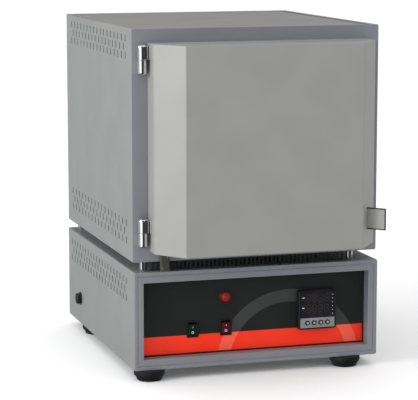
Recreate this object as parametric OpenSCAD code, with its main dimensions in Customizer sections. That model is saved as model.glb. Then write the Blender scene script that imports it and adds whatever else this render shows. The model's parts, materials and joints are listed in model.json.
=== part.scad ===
// Benchtop electric chamber kiln: a furnace box with a swinging plug door stands on standoffs
// above a control base. Millimetres, X to the right, Y to the back, Z up, floor at Z = 0.

/* [Cabinet] */
// Width of both boxes
case_w = 460; // [440:1:480]
// Depth of the furnace box
furnace_d = 500; // [480:1:520]
// Height of the furnace box
furnace_h = 411; // [405:1:425]
// Height of the control base
base_h = 177; // [170:1:190]
// Depth of the control base
base_d = 512; // [500:1:530]
// How far the control base stands in front of the furnace box
base_lead = 10; // [6:1:14]
// Air gap between the two boxes
gap_h = 17; // [14:1:20]
// Height of the rubber feet
foot_h = 20; // [15:1:25]
// Thickness of the casing sheet
sheet = 1.5; // [1:0.1:2]

/* [Door] */
// Depth of the door cover in front of the furnace box
door_d = 96.5; // [85:0.5:110]
// Height of the door cover
door_h = 366.5; // [350:0.5:370]
// Left edge of the door cover, from the middle of the case
door_left = -201.5; // [-204:0.5:-199]
// Right edge of the door cover, from the middle of the case
door_right = 208; // [200:0.5:212]
// How far each slanted side reaches in from the edge
facet_in = 41.5; // [30:0.5:60]
// Depth of the straight flange before the slant starts
flange_d = 41; // [35:0.5:55]

/* [Chamber] */
// Width of the firing chamber
chamber_w = 200; // [180:1:210]
// Depth of the firing chamber behind the mouth bricks
chamber_d = 290; // [250:1:300]
// Height of the firing chamber above the hearth plate
chamber_h = 170; // [150:1:180]
// Runs of heating coil on each side wall
coil_runs = 6; // [4:1:7]
// Radius of a wound heating coil
coil_r = 4.5; // [3.5:0.1:5]

/* [Controls] */
// Side of the square controller bezel
ctrl_w = 72; // [68:1:76]
// How far the bezel stands in front of the fascia
ctrl_out = 14; // [10:1:16]
// Width of a rocker switch
rocker_w = 22; // [20:0.5:24]
// Height of a rocker switch
rocker_h = 30; // [26:0.5:32]
// Diameter of the pilot lamp bezel
lamp_d = 24; // [20:0.5:26]

/* [Vents] */
// Slots in one row on the furnace side
furnace_slots = 17; // [12:1:18]
// Slots in one row on the base side
base_slots = 20; // [14:1:21]
// Width of a vent slot
slot_w = 5; // [3:0.5:7]
// Height of a vent slot
slot_h = 13; // [10:0.5:14]

/* [Hidden] */
$fn = 48;

// Colours
side_grey = [0.64, 0.65, 0.65];
frame_grey = [0.44, 0.45, 0.48];
door_grey = [0.66, 0.66, 0.64];
top_grey = [0.55, 0.54, 0.53];
black = [0.08, 0.08, 0.09];
steel = [0.72, 0.73, 0.75];
chrome = [0.85, 0.86, 0.88];
fibre = [0.93, 0.91, 0.86];
brick = [0.86, 0.78, 0.66];

// Main planes
half_w = case_w / 2;
front_y = -214;
back_y = front_y + furnace_d;
base_front = front_y - base_lead;
base_back = base_front + base_d;
base_z = foot_h;
base_top = base_z + base_h;
box_z = base_top + gap_h;
box_top = box_z + furnace_h;
eps = 0.01;
inset = sheet + 0.1;

// Fascia, set back inside the frame of the base
recess = 24;
fascia_x = 212.5;
fascia_z = [39.5, 177.5];
fascia_y = base_front + recess;
fascia_t = 2;
frame_t = 3;

// Control positions on the fascia
ctrl_x = 118;
ctrl_z = 108.3;
green_x = -116;
red_x = -53.5;
rocker_z = 84.5;
lamp_x = -55;
lamp_z = 140.5;
rocker_tilt = 9;
key_pitch = 12.9;
key_r = 4.2;
keypad_h = 18;
ctrl_face_y = fascia_y - ctrl_out;
key_z = ctrl_z - ctrl_w / 2 + 3 + keypad_h / 2;

// Feet and standoffs
foot_x = [-198.5, 174];
foot_y = [front_y + 7, front_y + 400];
standoff_x = [-209, 181];
standoff_y = [front_y + 7, back_y - 20];
standoff_af = 11;

// Fuse holder on the left side of the base
fuse_y = front_y + 402;
fuse_z = 71;
fuse_out = 9;

// Door planes
door_z = box_z + 20.3;
door_top = door_z + door_h;
door_front = front_y - door_d;
door_back = front_y - 1;
door_mid_z = (door_z + door_top) / 2;

// Hinges: axis beside the left flange of the door
hinge_x = -214;
hinge_y = front_y - 12;
hinge_r = 8.5;
hinge_half = 25.85;
hinge_z = [268, 572];
pin_r = 4;
pin_fit = 0.05;

// Chamber and its bricks
mouth_d = 38;
chamber_front = front_y + 2 + mouth_d;
chamber_back = chamber_front + chamber_d;
chamber_x = chamber_w / 2;
hearth_t = 10;
chamber_z = [322, 322 + hearth_t + chamber_h];
brick_x = 190;
brick_z = [262, 572];
back_t = 60;
plug_gap = 5;
mouth_x = chamber_x + 5;
mouth_z = [318, 508];
plug_in = 16;
case_back = chamber_back + back_t;

// Heating coils lie in round grooves in the side walls
groove_r = coil_r + 1.5;
coil_x = chamber_x + 9;
coil_z0 = chamber_z[0] + hearth_t + 16;
coil_pitch = (chamber_h - 32) / (coil_runs - 1);
coil_end = 14;
tail_end = case_back + 24;

// Holes through the back of the chamber
probe_x = 0;
probe_z = chamber_z[0] + hearth_t + chamber_h * 0.55;
probe_r = 4;
flue_x = 40;
flue_z = chamber_z[1] - 30;
flue_r = 14;
flue_bore = 9;
flue_out = 29;

// Vent rows
vent_rows = 3;
vent_row_pitch = 15.5;
furnace_vent_y = [front_y + 43, front_y + 457];
base_vent_y = [front_y + 46, front_y + 470];

// A box between two opposite corners
module block(lo, hi) translate(lo) cube(hi - lo);

// A cylinder along +Y starting at p
module rod_y(p, r, len) translate(p) rotate([-90, 0, 0]) cylinder(r = r, h = len);

// A cylinder along +X starting at p
module rod_x(p, r, len) translate(p) rotate([0, 90, 0]) cylinder(r = r, h = len);

// Rounded rectangle about the middle
module round_rect(w, d, r) {
    square([w - 2 * r, d], center = true);
    square([w, d - 2 * r], center = true);
    for (sx = [-1, 1], sy = [-1, 1]) translate([sx * (w / 2 - r), sy * (d / 2 - r)]) circle(r);
}

// Rounded plate facing -Y with its front at y = 0, centred on x and z
module face_plate(w, h, r, t) rotate([-90, 0, 0]) linear_extrude(t) round_rect(w, h, r);

// Pan head screw pointing along +Y, head at the front
module screw_y(p, head_r, len) {
    rod_y(p, head_r, 2);
    rod_y(p, head_r / 2, len);
}

// ---- Side sheets with staggered vent slots ----

// Slot outlines in a block whose first row has its middle at z
module vent_block(y_range, z, count) {
    pitch = (y_range[1] - y_range[0]) / (count - 1);
    for (row = [0:vent_rows - 1], i = [0:count - 1 - row % 2])
        translate([y_range[0] + pitch * (i + (row % 2) / 2), z + row * vent_row_pitch])
            square([slot_w, slot_h], center = true);
}

// Left-hand side sheet with inward folds along the top and bottom; side mirrors it
module side_sheet(side, y0, y1, z0, z1, fold) {
    mirror([side > 0 ? 1 : 0, 0, 0]) {
        translate([-half_w, 0, 0]) rotate([90, 0, 90]) linear_extrude(sheet) difference() {
            translate([y0, z0]) square([y1 - y0, z1 - z0]);
            children();
        }
        for (z = [z0, z1 - sheet])
            block([-half_w + sheet, y0, z], [-half_w + fold, y1, z + sheet]);
    }
}

module furnace_side(side) {
    side_sheet(side, front_y + 2, back_y - sheet, box_z, box_top, 11) {
        vent_block(furnace_vent_y, box_z + 34, furnace_slots);
        vent_block(furnace_vent_y, box_top - 49, furnace_slots);
    }
}

module base_side(side) {
    difference() {
        side_sheet(side, base_front + frame_t, base_back - sheet, base_z, base_top, 9)
            vent_block(base_vent_y, base_top - 54.5, base_slots);
        if (side < 0) rod_x([-half_w - 1, fuse_y, fuse_z], 8, 4);
    }
}

module furnace_left_side() color(side_grey) furnace_side(-1);
module furnace_right_side() color(side_grey) furnace_side(1);
module base_left_side() color(side_grey) base_side(-1);
module base_right_side() color(side_grey) base_side(1);

// ---- Control base casing ----

module base_floor() {
    wall = half_w - inset - 0.1;
    color(steel) difference() {
        union() {
            block([-wall, base_front + frame_t + 0.1, base_z + inset],
                [wall, base_back - inset, base_z + inset + sheet]);
            block([-wall, base_back - inset - sheet, base_z + inset],
                [wall, base_back - inset, base_z + 18]);
        }
        for (x = foot_x, y = foot_y) translate([x, y, base_z]) cylinder(r = 3, h = 10);
    }
}

module base_top_plate() {
    color(frame_grey) difference() {
        block([-half_w + inset, base_front + frame_t, base_top - sheet - 0.1 - sheet],
            [half_w - inset, base_back - inset, base_top - sheet - 0.1]);
        for (x = standoff_x, y = standoff_y) translate([x, y, base_top - 10]) cylinder(r = 3, h = 20);
    }
    // Raised pad between the side folds
    color(frame_grey) difference() {
        block([-half_w + 9.2, base_front + frame_t, base_top - sheet - 0.1],
            [half_w - 9.2, base_back - inset, base_top]);
        for (x = standoff_x, y = standoff_y) translate([x, y, base_top - 10]) cylinder(r = 3, h = 20);
    }
}

module base_rear_panel() {
    gland_hole = 10;
    color(side_grey) difference() {
        block([-half_w, base_back - sheet, base_z], [half_w, base_back, base_top]);
        rod_y([-150, base_back - 5, 70], gland_hole, 10);
        for (i = [0:9], row = [0:1])
            translate([40 + 16 * i, base_back - 5, 120 + 26 * row]) cube([slot_w, 10, 20]);
    }
}

module base_front_frame() {
    z_mid = (fascia_z[0] + fascia_z[1]) / 2;
    open_h = fascia_z[1] - fascia_z[0];
    groove_in = 6;
    groove_w = 2.5;
    color(frame_grey) difference() {
        union() {
            block([-half_w, base_front, base_z], [half_w, base_front + frame_t, base_top]);
            block([-fascia_x - sheet, base_front, fascia_z[0] - sheet],
                [fascia_x + sheet, fascia_y - 0.05, fascia_z[1] + sheet]);
        }
        block([-fascia_x, base_front - 1, fascia_z[0]], [fascia_x, fascia_y + 1, fascia_z[1]]);
        translate([0, base_front - 1, (base_z + base_top) / 2]) difference() {
            face_plate(case_w - 2 * groove_in, base_h - 2 * groove_in, 4, 2.2);
            face_plate(case_w - 2 * (groove_in + groove_w), base_h - 2 * (groove_in + groove_w), 2, 3);
        }
    }
}

// ---- Fascia and controls ----

// Boxes cut for the things mounted in the fascia, deep enough to pass right through
module fascia_cutouts() {
    cut = 20;
    body = ctrl_w - 4;
    translate([ctrl_x - body / 2, fascia_y - 5, ctrl_z - body / 2]) cube([body, cut, body]);
    for (x = [green_x, red_x])
        translate([x - rocker_w / 2 + 1.5, fascia_y - 5, rocker_z - rocker_h / 2 + 1.5])
            cube([rocker_w - 3, cut, rocker_h - 3]);
    rod_y([lamp_x, fascia_y - 5, lamp_z], 8, cut);
}

module control_fascia() {
    color(black) difference() {
        block([-fascia_x - 6, fascia_y, fascia_z[0] - 6],
            [fascia_x + 6, fascia_y + fascia_t, fascia_z[1] + 6]);
        fascia_cutouts();
    }
}

module controller_case() {
    lip = 2.2;
    body = ctrl_w - 4.4;
    body_d = 80;
    face_drop = 1.6;
    color(black) difference() {
        union() {
            translate([ctrl_x, ctrl_face_y, ctrl_z]) face_plate(ctrl_w, ctrl_w, 3, ctrl_out);
            translate([ctrl_x - body / 2, fascia_y - eps, ctrl_z - body / 2]) cube([body, body_d, body]);
        }
        // Shallow window recess behind the bezel lip
        translate([ctrl_x, ctrl_face_y - 1, ctrl_z])
            face_plate(ctrl_w - 2 * lip, ctrl_w - 2 * lip, 1.5, 1 + face_drop);
        // Wells for the keys
        for (i = [0:3]) rod_y([key_x(i), ctrl_face_y - 1, key_z], key_r + 0.3, 6);
    }
}

function key_x(i) = ctrl_x + (i - 1.5) * key_pitch;

// The dark window over the two rows of figures
module controller_window() {
    w = ctrl_w - 6;
    h = ctrl_w - 6 - keypad_h - 0.4;
    color([0.05, 0.05, 0.06])
        translate([ctrl_x - w / 2, ctrl_face_y + 0.4, ctrl_z + ctrl_w / 2 - 3 - h]) cube([w, 1.2, h]);
}

module controller_keypad() {
    w = ctrl_w - 6;
    color([0.42, 0.43, 0.44]) difference() {
        translate([ctrl_x - w / 2, ctrl_face_y + 0.4, ctrl_z - ctrl_w / 2 + 3])
            cube([w, 1.2, keypad_h]);
        for (i = [0:3]) rod_y([key_x(i), ctrl_face_y - 1, key_z], key_r + 0.3, 6);
    }
}

// A round key: it stands proud of the keypad and has a dished top
module controller_key(i) {
    rise = 0.9;
    travel = 0.8;
    color(black) difference() {
        rod_y([key_x(i), ctrl_face_y - rise, key_z], key_r, rise + 5 - travel - 0.2);
        translate([key_x(i), ctrl_face_y - rise - 5.6, key_z]) sphere(r = 6);
    }
}
module controller_key_1() controller_key(0);
module controller_key_2() controller_key(1);
module controller_key_3() controller_key(2);
module controller_key_4() controller_key(3);

// Snap-in body of a rocker switch with a bezel flange
module switch_housing(x) {
    flange = 2;
    bezel = 2;
    body_d = 20;
    color(black) difference() {
        union() {
            translate([x, fascia_y - flange, rocker_z]) face_plate(rocker_w, rocker_h, 1.5, flange);
            translate([x - rocker_w / 2 + 1.8, fascia_y - eps, rocker_z - rocker_h / 2 + 1.8])
                cube([rocker_w - 3.6, body_d, rocker_h - 3.6]);
        }
        translate([x - rocker_w / 2 + bezel + 0.6, fascia_y - 5, rocker_z - rocker_h / 2 + bezel + 0.6])
            cube([rocker_w - 2 * bezel - 1.2, 18, rocker_h - 2 * bezel - 1.2]);
    }
    // Two spade terminals at the back
    color(steel) for (s = [-1, 1])
        translate([x - 3, fascia_y + body_d - 0.1, rocker_z + s * 7 - 0.4]) cube([6, 9, 0.8]);
}

// Rocker paddle: a shallow V in side view, tipped to its lower half at rest
module rocker(x, tint) {
    w = rocker_w - 6.2;
    reach = rocker_h / 2 - 5;
    pivot_y = fascia_y + 4;
    color(tint) translate([x, pivot_y, rocker_z]) rotate([rocker_tilt, 0, 0])
        rotate([90, 0, 90]) linear_extrude(w, center = true)
            polygon([[-8.4, -reach], [-5.6, 0], [-8.4, reach], [-1.5, reach - 0.6], [5, 3],
                [5, -3], [-1.5, 0.6 - reach]]);
}

module green_switch_housing() switch_housing(green_x);
module red_switch_housing() switch_housing(red_x);
module green_rocker() rocker(green_x, [0.05, 0.25, 0.14]);
module red_rocker() rocker(red_x, [0.42, 0.05, 0.06]);

module lamp_bezel() {
    color([0.2, 0.05, 0.05]) translate([lamp_x, fascia_y, lamp_z]) rotate([90, 0, 0])
        rotate_extrude() polygon([[9.5, 0], [lamp_d / 2, 0], [lamp_d / 2, 1.5], [10.5, 4], [9.5, 4]]);
    color([0.2, 0.05, 0.05]) difference() {
        rod_y([lamp_x, fascia_y + eps, lamp_z], 7.8, 24);
        rod_y([lamp_x, fascia_y - 1, lamp_z], 6.4, 20);
    }
}

// Lens: a wide rim with a domed middle and a stem that clips into the bezel
module lamp_lens() {
    color([0.6, 0.08, 0.06]) translate([lamp_x, fascia_y, lamp_z]) rotate([90, 0, 0])
        rotate_extrude() polygon([[0, -16], [6.2, -16], [6.2, 0.2], [9.3, 0.2], [9.3, 3.4],
            [8.2, 4.6], [5.4, 4.6], [4.4, 6], [2.4, 7], [0, 7.3]]);
}

// ---- Underside and rear fittings ----

module feet() {
    pad_r = 28;
    tip_r = 22.5;
    color(black) for (x = foot_x, y = foot_y) translate([x, y, 0]) rotate_extrude()
        polygon([[5, 5], [5, 0], [tip_r - 1.5, 0], [tip_r, 1.5], [pad_r, foot_h * 0.55],
            [pad_r, foot_h - 1.2], [pad_r - 1.2, foot_h], [3.2, foot_h], [3.2, 5]]);
}

module foot_screws() {
    color(steel) for (x = foot_x, y = foot_y) translate([x, y, 0]) {
        translate([0, 0, 2]) cylinder(r = 4.8, h = 3);
        translate([0, 0, 5 - eps]) cylinder(r = 2.9, h = foot_h + 4);
        translate([0, 0, foot_h + inset + sheet]) cylinder(r = 5, h = 3.5, $fn = 6);
    }
}

module fuse_holder() {
    color(black) difference() {
        union() {
            rod_x([-half_w - 2, fuse_y, fuse_z], 12.4, 2);
            rod_x([-half_w - eps, fuse_y, fuse_z], 7.8, 38);
        }
        rod_x([-half_w - 3, fuse_y, fuse_z], 5, 34);
    }
}

// Bayonet cap with a screwdriver slot
module fuse_cap() {
    flange = 2.3;
    color(black) difference() {
        union() {
            rod_x([-half_w - fuse_out, fuse_y, fuse_z], 10.6, fuse_out - flange);
            rod_x([-half_w - flange - eps, fuse_y, fuse_z], 4.7, 22);
        }
        block([-half_w - fuse_out - 1, fuse_y - 8, fuse_z - 0.9],
            [-half_w - fuse_out + 1.6, fuse_y + 8, fuse_z + 0.9]);
    }
}

// Nylon gland for the mains lead
module cable_gland() {
    p = [-150, base_back, 70];
    bore_r = 5.5;
    color(black) difference() {
        union() {
            rod_y(p - [0, 12, 0], 9.8, 12.1);
            translate(p) rotate([-90, 0, 0]) cylinder(r = 14, h = 6, $fn = 6);
            rod_y(p + [0, 6 - eps, 0], 11.5, 12);
            rod_y(p + [0, 18 - 2 * eps, 0], 9, 4);
            translate(p - [0, 9, 0]) rotate([-90, 0, 0]) cylinder(r = 14, h = 7, $fn = 6);
        }
        rod_y(p - [0, 20, 0], bore_r, 60);
    }
}

module terminal_block() {
    ways = 6;
    pitch = 12;
    x0 = -190;
    y0 = 150;
    z0 = base_z + inset + sheet;
    color([0.85, 0.83, 0.75]) difference() {
        block([x0, y0, z0], [x0 + ways * pitch, y0 + 30, z0 + 22]);
        for (i = [0:ways - 1], s = [8, 22])
            translate([x0 + pitch * (i + 0.5), y0 + s, z0 + 8]) cylinder(r = 3.2, h = 20);
    }
}

module heat_sink() {
    fins = 9;
    fin_pitch = 11;
    x0 = 30;
    y0 = 60;
    z0 = base_z + inset + sheet;
    color(steel) {
        block([x0, y0, z0], [x0 + 92, y0 + 110, z0 + 6]);
        for (i = [0:fins - 1]) block([x0 + fin_pitch * i, y0, z0 + 6 - eps],
            [x0 + fin_pitch * i + 3, y0 + 110, z0 + 36]);
    }
}

module power_relay() {
    x0 = -60;
    y0 = 80;
    z0 = base_z + inset + sheet;
    color([0.8, 0.8, 0.78]) difference() {
        block([x0, y0, z0], [x0 + 45, y0 + 58, z0 + 28]);
        for (x = [10, 35], y = [7, 51]) translate([x0 + x, y0 + y, z0 + 18]) cylinder(r = 4.5, h = 20);
    }
}

// ---- Between the boxes ----

module standoffs() {
    color(chrome) for (x = standoff_x, y = standoff_y) {
        translate([x, y, base_top]) rotate([0, 0, 30])
            cylinder(r = standoff_af / 2 / cos(30), h = gap_h, $fn = 6);
        translate([x, y, base_top - 9]) cylinder(r = 2.9, h = gap_h + 18);
    }
}

// Slotted black strip that closes the front of the air gap
module gap_baffle() {
    span = [-195, 168];
    ribs = 45;
    pitch = (span[1] - span[0] - 6) / ribs;
    y = front_y + 3;
    color(black) translate([0, y + sheet, 0]) rotate([90, 0, 0]) linear_extrude(sheet) difference() {
        translate([span[0], base_top]) square([span[1] - span[0], gap_h]);
        for (i = [0:ribs - 1]) translate([span[0] + 5 + pitch * i, base_top + 3])
            square([pitch - 3.4, gap_h - 6]);
    }
    color(black) block([span[0], y, base_top], [span[1], y + 12, base_top + sheet]);
}

interlock_x = -173;
interlock_top = base_top + 31.5;

// Brown moulded switch that the closed door presses
module interlock_switch() {
    w = 16;
    y0 = base_front + 0.5;
    y1 = front_y - 1;
    color([0.27, 0.25, 0.23]) difference() {
        block([interlock_x - w / 2, y0, base_top], [interlock_x + w / 2, y1, interlock_top]);
        translate([interlock_x, (y0 + y1) / 2, interlock_top - 8]) cylinder(r = 2.05, h = 20);
    }
}

module interlock_plunger() {
    top = door_z - 0.5;
    y = (base_front + 0.5 + front_y - 1) / 2;
    color([0.85, 0.84, 0.8]) {
        translate([interlock_x, y, interlock_top - 5]) cylinder(r = 2, h = top - interlock_top + 3.5);
        translate([interlock_x, y, top - 1.5 - eps]) cylinder(r = 2, h = 0.7);
        translate([interlock_x, y, top - 0.8 - eps]) cylinder(r = 1.4, h = 0.8);
    }
}

// ---- Furnace casing ----

module furnace_front_frame() {
    fold_in = sheet + inset;
    fold_d = 14;
    sheet_x = mouth_x + 7;
    color(frame_grey) difference() {
        union() {
            block([-half_w, front_y, box_z], [half_w, front_y + 2, box_top]);
            for (s = [-1, 1]) translate([s * (half_w - inset - sheet / 2), front_y + fold_d / 2,
                (box_z + box_top) / 2]) cube([sheet, fold_d, furnace_h - 2 * fold_in - 1], center = true);
        }
        block([-sheet_x, front_y - 1, mouth_z[0] - 7], [sheet_x, front_y + 3, mouth_z[1] + 7]);
        for (z = hinge_z, dz = [-8, -18]) rod_y([hinge_x, front_y - 1, z + dz], 2.1, 4);
    }
}

// Pressed lid: a low band round a raised field with rounded corners
module furnace_top() {
    band_z = box_top - sheet - 0.1;
    mid_y = (front_y + back_y) / 2;
    field_w = case_w - 44;
    field_d = furnace_d - 40;
    field_r = 38;
    press = 1.4;
    color(top_grey) difference() {
        union() {
            block([-half_w + inset, front_y + 2, band_z - sheet], [half_w - inset, back_y - inset, band_z]);
            translate([0, mid_y, band_z - eps]) linear_extrude(press) round_rect(field_w, field_d, field_r);
        }
        translate([0, mid_y, band_z - sheet - 1]) linear_extrude(1 + press - 0.2)
            round_rect(field_w - 3, field_d - 3, field_r - 1.5);
    }
}

module furnace_floor() {
    color(steel) difference() {
        block([-half_w + inset, front_y + 2, box_z + inset],
            [half_w - inset, back_y - inset, box_z + inset + sheet]);
        for (x = standoff_x, y = standoff_y) translate([x, y, box_z - 10]) cylinder(r = 3, h = 20);
    }
    color(steel) difference() {
        block([-half_w + 11.2, front_y + 2, box_z], [half_w - 11.2, back_y - inset, box_z + inset + eps]);
        for (x = standoff_x, y = standoff_y) translate([x, y, box_z - 10]) cylinder(r = 3, h = 20);
    }
}

module furnace_rear() {
    color(side_grey) difference() {
        block([-half_w, back_y - sheet, box_z], [half_w, back_y, box_top]);
        rod_y([flue_x, back_y - 5, flue_z], flue_r + 0.2, 10);
        for (i = [0:15], row = [0:2], s = [0, 1])
            translate([-150 + 19 * i, back_y - 5, box_z + 24 + 20 * row + s * 300]) cube([slot_w, 10, slot_h]);
    }
}

// Inner steel case round the insulation, on two channel rails
module inner_case() {
    t = 1.2;
    fit = 0.2;
    x = brick_x + fit;
    z0 = brick_z[0] - fit;
    z1 = brick_z[1] + fit;
    y0 = front_y + 2.2;
    color(steel) difference() {
        block([-x - t, y0, z0 - t], [x + t, case_back + fit + t, z1 + t]);
        block([-x, y0 - 1, z0], [x, case_back + fit, z1]);
        rod_y([flue_x, case_back - 5, flue_z], flue_r + 0.2, 20);
        rod_y([probe_x, case_back - 5, probe_z], probe_r + 0.2, 20);
        for (s = [-1, 1], z = tail_z()) rod_y([s * coil_x, case_back - 5, z], groove_r, 20);
    }
    color(steel) for (s = [-1, 1]) difference() {
        block([s * 150 - 15, y0 + 10, box_z + inset + sheet], [s * 150 + 15, case_back, z0 - t]);
        block([s * 150 - 13, y0 + 9, box_z + inset + sheet + 2], [s * 150 + 13, case_back + 1, z0 - t - 2]);
    }
}

// ---- Insulation ----

module insulation_floor() {
    color(fibre) block([-brick_x, chamber_front, brick_z[0]], [brick_x, case_back, chamber_z[0]]);
}

module insulation_roof() {
    color(fibre) block([-brick_x, chamber_front, chamber_z[1]], [brick_x, case_back, brick_z[1]]);
}

function coil_z(i) = coil_z0 + coil_pitch * i;
function tail_z() = [coil_z(0), coil_z(coil_runs - 1)];

// Side wall with an open round groove for each run of coil
module side_wall(side) {
    mirror([side > 0 ? 0 : 1, 0, 0]) color(fibre) difference() {
        block([chamber_x, chamber_front, chamber_z[0]], [brick_x, chamber_back, chamber_z[1]]);
        for (i = [0:coil_runs - 1]) {
            rod_y([coil_x, chamber_front - 1, coil_z(i)], groove_r, chamber_d + 2);
            block([chamber_x - 1, chamber_front - 1, coil_z(i) - coil_r + 1],
                [coil_x, chamber_back + 1, coil_z(i) + coil_r - 1]);
        }
        // Pockets for the bends that join one run to the next
        for (i = [0:coil_runs - 2]) {
            at_front = i % 2 == 0;
            y = at_front ? chamber_front - 1 : chamber_back - coil_end - 10;
            block([coil_x - groove_r, y, coil_z(i) - groove_r],
                [coil_x + groove_r, y + coil_end + 11, coil_z(i + 1) + groove_r]);
        }
    }
}
module insulation_left() side_wall(-1);
module insulation_right() side_wall(1);

module insulation_back() {
    color(fibre) difference() {
        block([-brick_x, chamber_back, chamber_z[0]], [brick_x, case_back, chamber_z[1]]);
        for (s = [-1, 1], z = tail_z()) rod_y([s * coil_x, chamber_back - 1, z], groove_r, back_t + 2);
        rod_y([probe_x, chamber_back - 1, probe_z], probe_r + 0.2, back_t + 2);
        rod_y([flue_x, chamber_back - 1, flue_z], flue_r + 0.2, back_t + 2);
    }
}

// Four hard bricks frame the mouth
module mouth_bricks() {
    y0 = front_y + 2;
    joint = 0.4;
    color(brick) {
        block([-brick_x, y0, brick_z[0]], [brick_x, chamber_front, mouth_z[0]]);
        block([-brick_x, y0, mouth_z[1]], [brick_x, chamber_front, brick_z[1]]);
        for (s = [-1, 1]) translate([s * (mouth_x + brick_x) / 2, (y0 + chamber_front) / 2,
            (mouth_z[0] + mouth_z[1]) / 2])
            cube([brick_x - mouth_x, mouth_d, mouth_z[1] - mouth_z[0] - joint], center = true);
    }
}

// One winding: straight runs joined by half-round bends, with two tails through the back
module heating_coil(side) {
    bend_r = coil_pitch / 2;
    inset_y = coil_end - coil_r;
    run_y0 = chamber_front + inset_y + bend_r;
    run_y1 = chamber_back - inset_y - bend_r;
    color([0.42, 0.38, 0.36]) for (i = [0:coil_runs - 1]) {
        tail = i == 0 || i == coil_runs - 1;
        y1 = tail ? tail_end : run_y1;
        rod_y([side * coil_x, run_y0, coil_z(i)], coil_r, y1 - run_y0);
        if (i < coil_runs - 1)
            translate([side * coil_x, i % 2 == 0 ? run_y0 : run_y1, coil_z(i) + bend_r])
                rotate([0, 90, 0]) rotate([0, 0, i % 2 == 0 ? 180 : 0])
                    rotate_extrude(angle = 180) translate([bend_r, 0]) circle(coil_r);
    }
}
module heating_coil_left() heating_coil(-1);
module heating_coil_right() heating_coil(1);

module hearth_plate() {
    color([0.45, 0.42, 0.4]) block([-chamber_x + 2, chamber_front + 4, chamber_z[0]],
        [chamber_x - 2, chamber_back - 4, chamber_z[0] + hearth_t]);
}

// ---- Rear of the furnace ----

// Ceramic sheath with its connection head in the rear space
module thermocouple() {
    reach = 35;
    color([0.92, 0.9, 0.85])
        rod_y([probe_x, chamber_back - reach, probe_z], probe_r, case_back + 8 - chamber_back + reach);
    color(steel) difference() {
        rod_y([probe_x, case_back + 8 - eps, probe_z], 18, 30);
        for (s = [-1, 1]) rod_y([probe_x + s * 8, case_back + 30, probe_z], 2.5, 10);
    }
}

module flue_tube() {
    color([0.9, 0.87, 0.8]) difference() {
        rod_y([flue_x, chamber_back, flue_z], flue_r, back_y + flue_out - chamber_back);
        rod_y([flue_x, chamber_back - 1, flue_z], flue_bore, furnace_d);
    }
}

// Ceramic connectors clamped on the tails of the coils
module element_terminals() {
    color([0.88, 0.86, 0.82]) for (s = [-1, 1], z = tail_z()) difference() {
        block([s * coil_x - 10, case_back + 6, z - 10], [s * coil_x + 10, tail_end + 4, z + 10]);
        rod_y([s * coil_x, case_back, z], coil_r + 0.1, tail_end - case_back + 0.1);
        translate([s * coil_x, case_back + 16, z]) cylinder(r = 2.5, h = 20);
    }
}

// ---- Door ----

// Plan outline of the door, shrunk by d, from the straight flanges to the flat front
function door_plan(d, back) = [[door_left + d, back], [door_left + d, front_y - flange_d],
    [door_left + facet_in + d * 0.6, door_front + d], [door_right - facet_in - d * 0.6, door_front + d],
    [door_right - d, front_y - flange_d], [door_right - d, back]];

module door_cover() {
    vents = 20;
    vent_pitch = 14;
    slot = [8, 3.4];
    color(door_grey) difference() {
        translate([0, 0, door_z]) linear_extrude(door_h) polygon(door_plan(0, door_back));
        translate([0, 0, door_z + sheet]) linear_extrude(door_h - 2 * sheet)
            polygon(door_plan(sheet, door_back + 1));
        for (i = [0:vents - 1], row = [0:1])
            translate([3 - vent_pitch * (vents - 1) / 2 + vent_pitch * i, front_y - 60 + 22 * row, door_z - 1])
                translate([-slot[0] / 2, -slot[1] / 2, 0]) cube([slot[0], slot[1], door_h + 2]);
    }
}

plate_back = front_y - 4.6;

module door_inner_plate() {
    t = 1.5;
    margin = sheet + 0.2;
    color(steel) difference() {
        block([door_left + margin, plate_back - t, door_z + margin],
            [door_right - margin, plate_back, door_top - margin]);
        block([-chamber_x + 2, plate_back - 5, mouth_z[0] + plug_gap - 0.5],
            [chamber_x - 2, plate_back + 5, mouth_z[1] - plug_gap + 0.5]);
    }
}

// Hard fibre plug that enters the mouth
module door_plug() {
    x = chamber_x - 2.5;
    z0 = mouth_z[0] + plug_gap;
    z1 = mouth_z[1] - plug_gap;
    color(fibre) {
        block([-x, plate_back - 40, z0], [x, front_y + plug_in - 4, z1]);
        block([-x + 4, front_y + plug_in - 4 - eps, z0 + 4], [x - 4, front_y + plug_in, z1 - 4]);
    }
}

// Soft blanket that fills the rest of the door
module door_insulation() {
    lining = 4;
    x = chamber_x - 2;
    pocket = 0.5;
    air = 22;
    color([0.9, 0.9, 0.86]) difference() {
        translate([0, 0, door_z + air]) linear_extrude(door_h - 2 * air)
            polygon(door_plan(lining, plate_back - 1.6));
        block([-x, plate_back - 40.5, mouth_z[0] + plug_gap - pocket],
            [x, front_y, mouth_z[1] - plug_gap + pocket]);
    }
}

// Square rope seal round the plug
module door_seal() {
    gap = 8;
    band = 9;
    x = mouth_x + gap;
    z0 = mouth_z[0] - gap;
    z1 = mouth_z[1] + gap;
    y0 = plate_back + eps;
    y1 = front_y - 0.4;
    color([0.95, 0.94, 0.9]) {
        for (s = [-1, 1]) translate([s * (x + band / 2), (y0 + y1) / 2, (z0 + z1) / 2])
            cube([band, y1 - y0, z1 - z0], center = true);
        block([-x - band, y0, z0 - band], [x + band, y1, z0]);
        block([-x - band, y0, z1], [x + band, y1, z1 + band]);
    }
}

// Flat pull tab welded to the right slanted side
module door_handle() {
    root = [181, front_y - 73.4];
    z0 = 266.5;
    h = 39;
    t = 2.5;
    reach = 38;
    forward = 46;
    color(door_grey) difference() {
        translate([root[0], root[1], z0]) rotate([0, 0, -forward]) translate([0, -t / 2, 0])
            cube([reach, t, h]);
        translate([0, 0, z0 - 1]) linear_extrude(h + 2) polygon(door_plan(0, door_back));
    }
}

// ---- Hinges: lower halves on the frame, upper halves on the door ----

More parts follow.
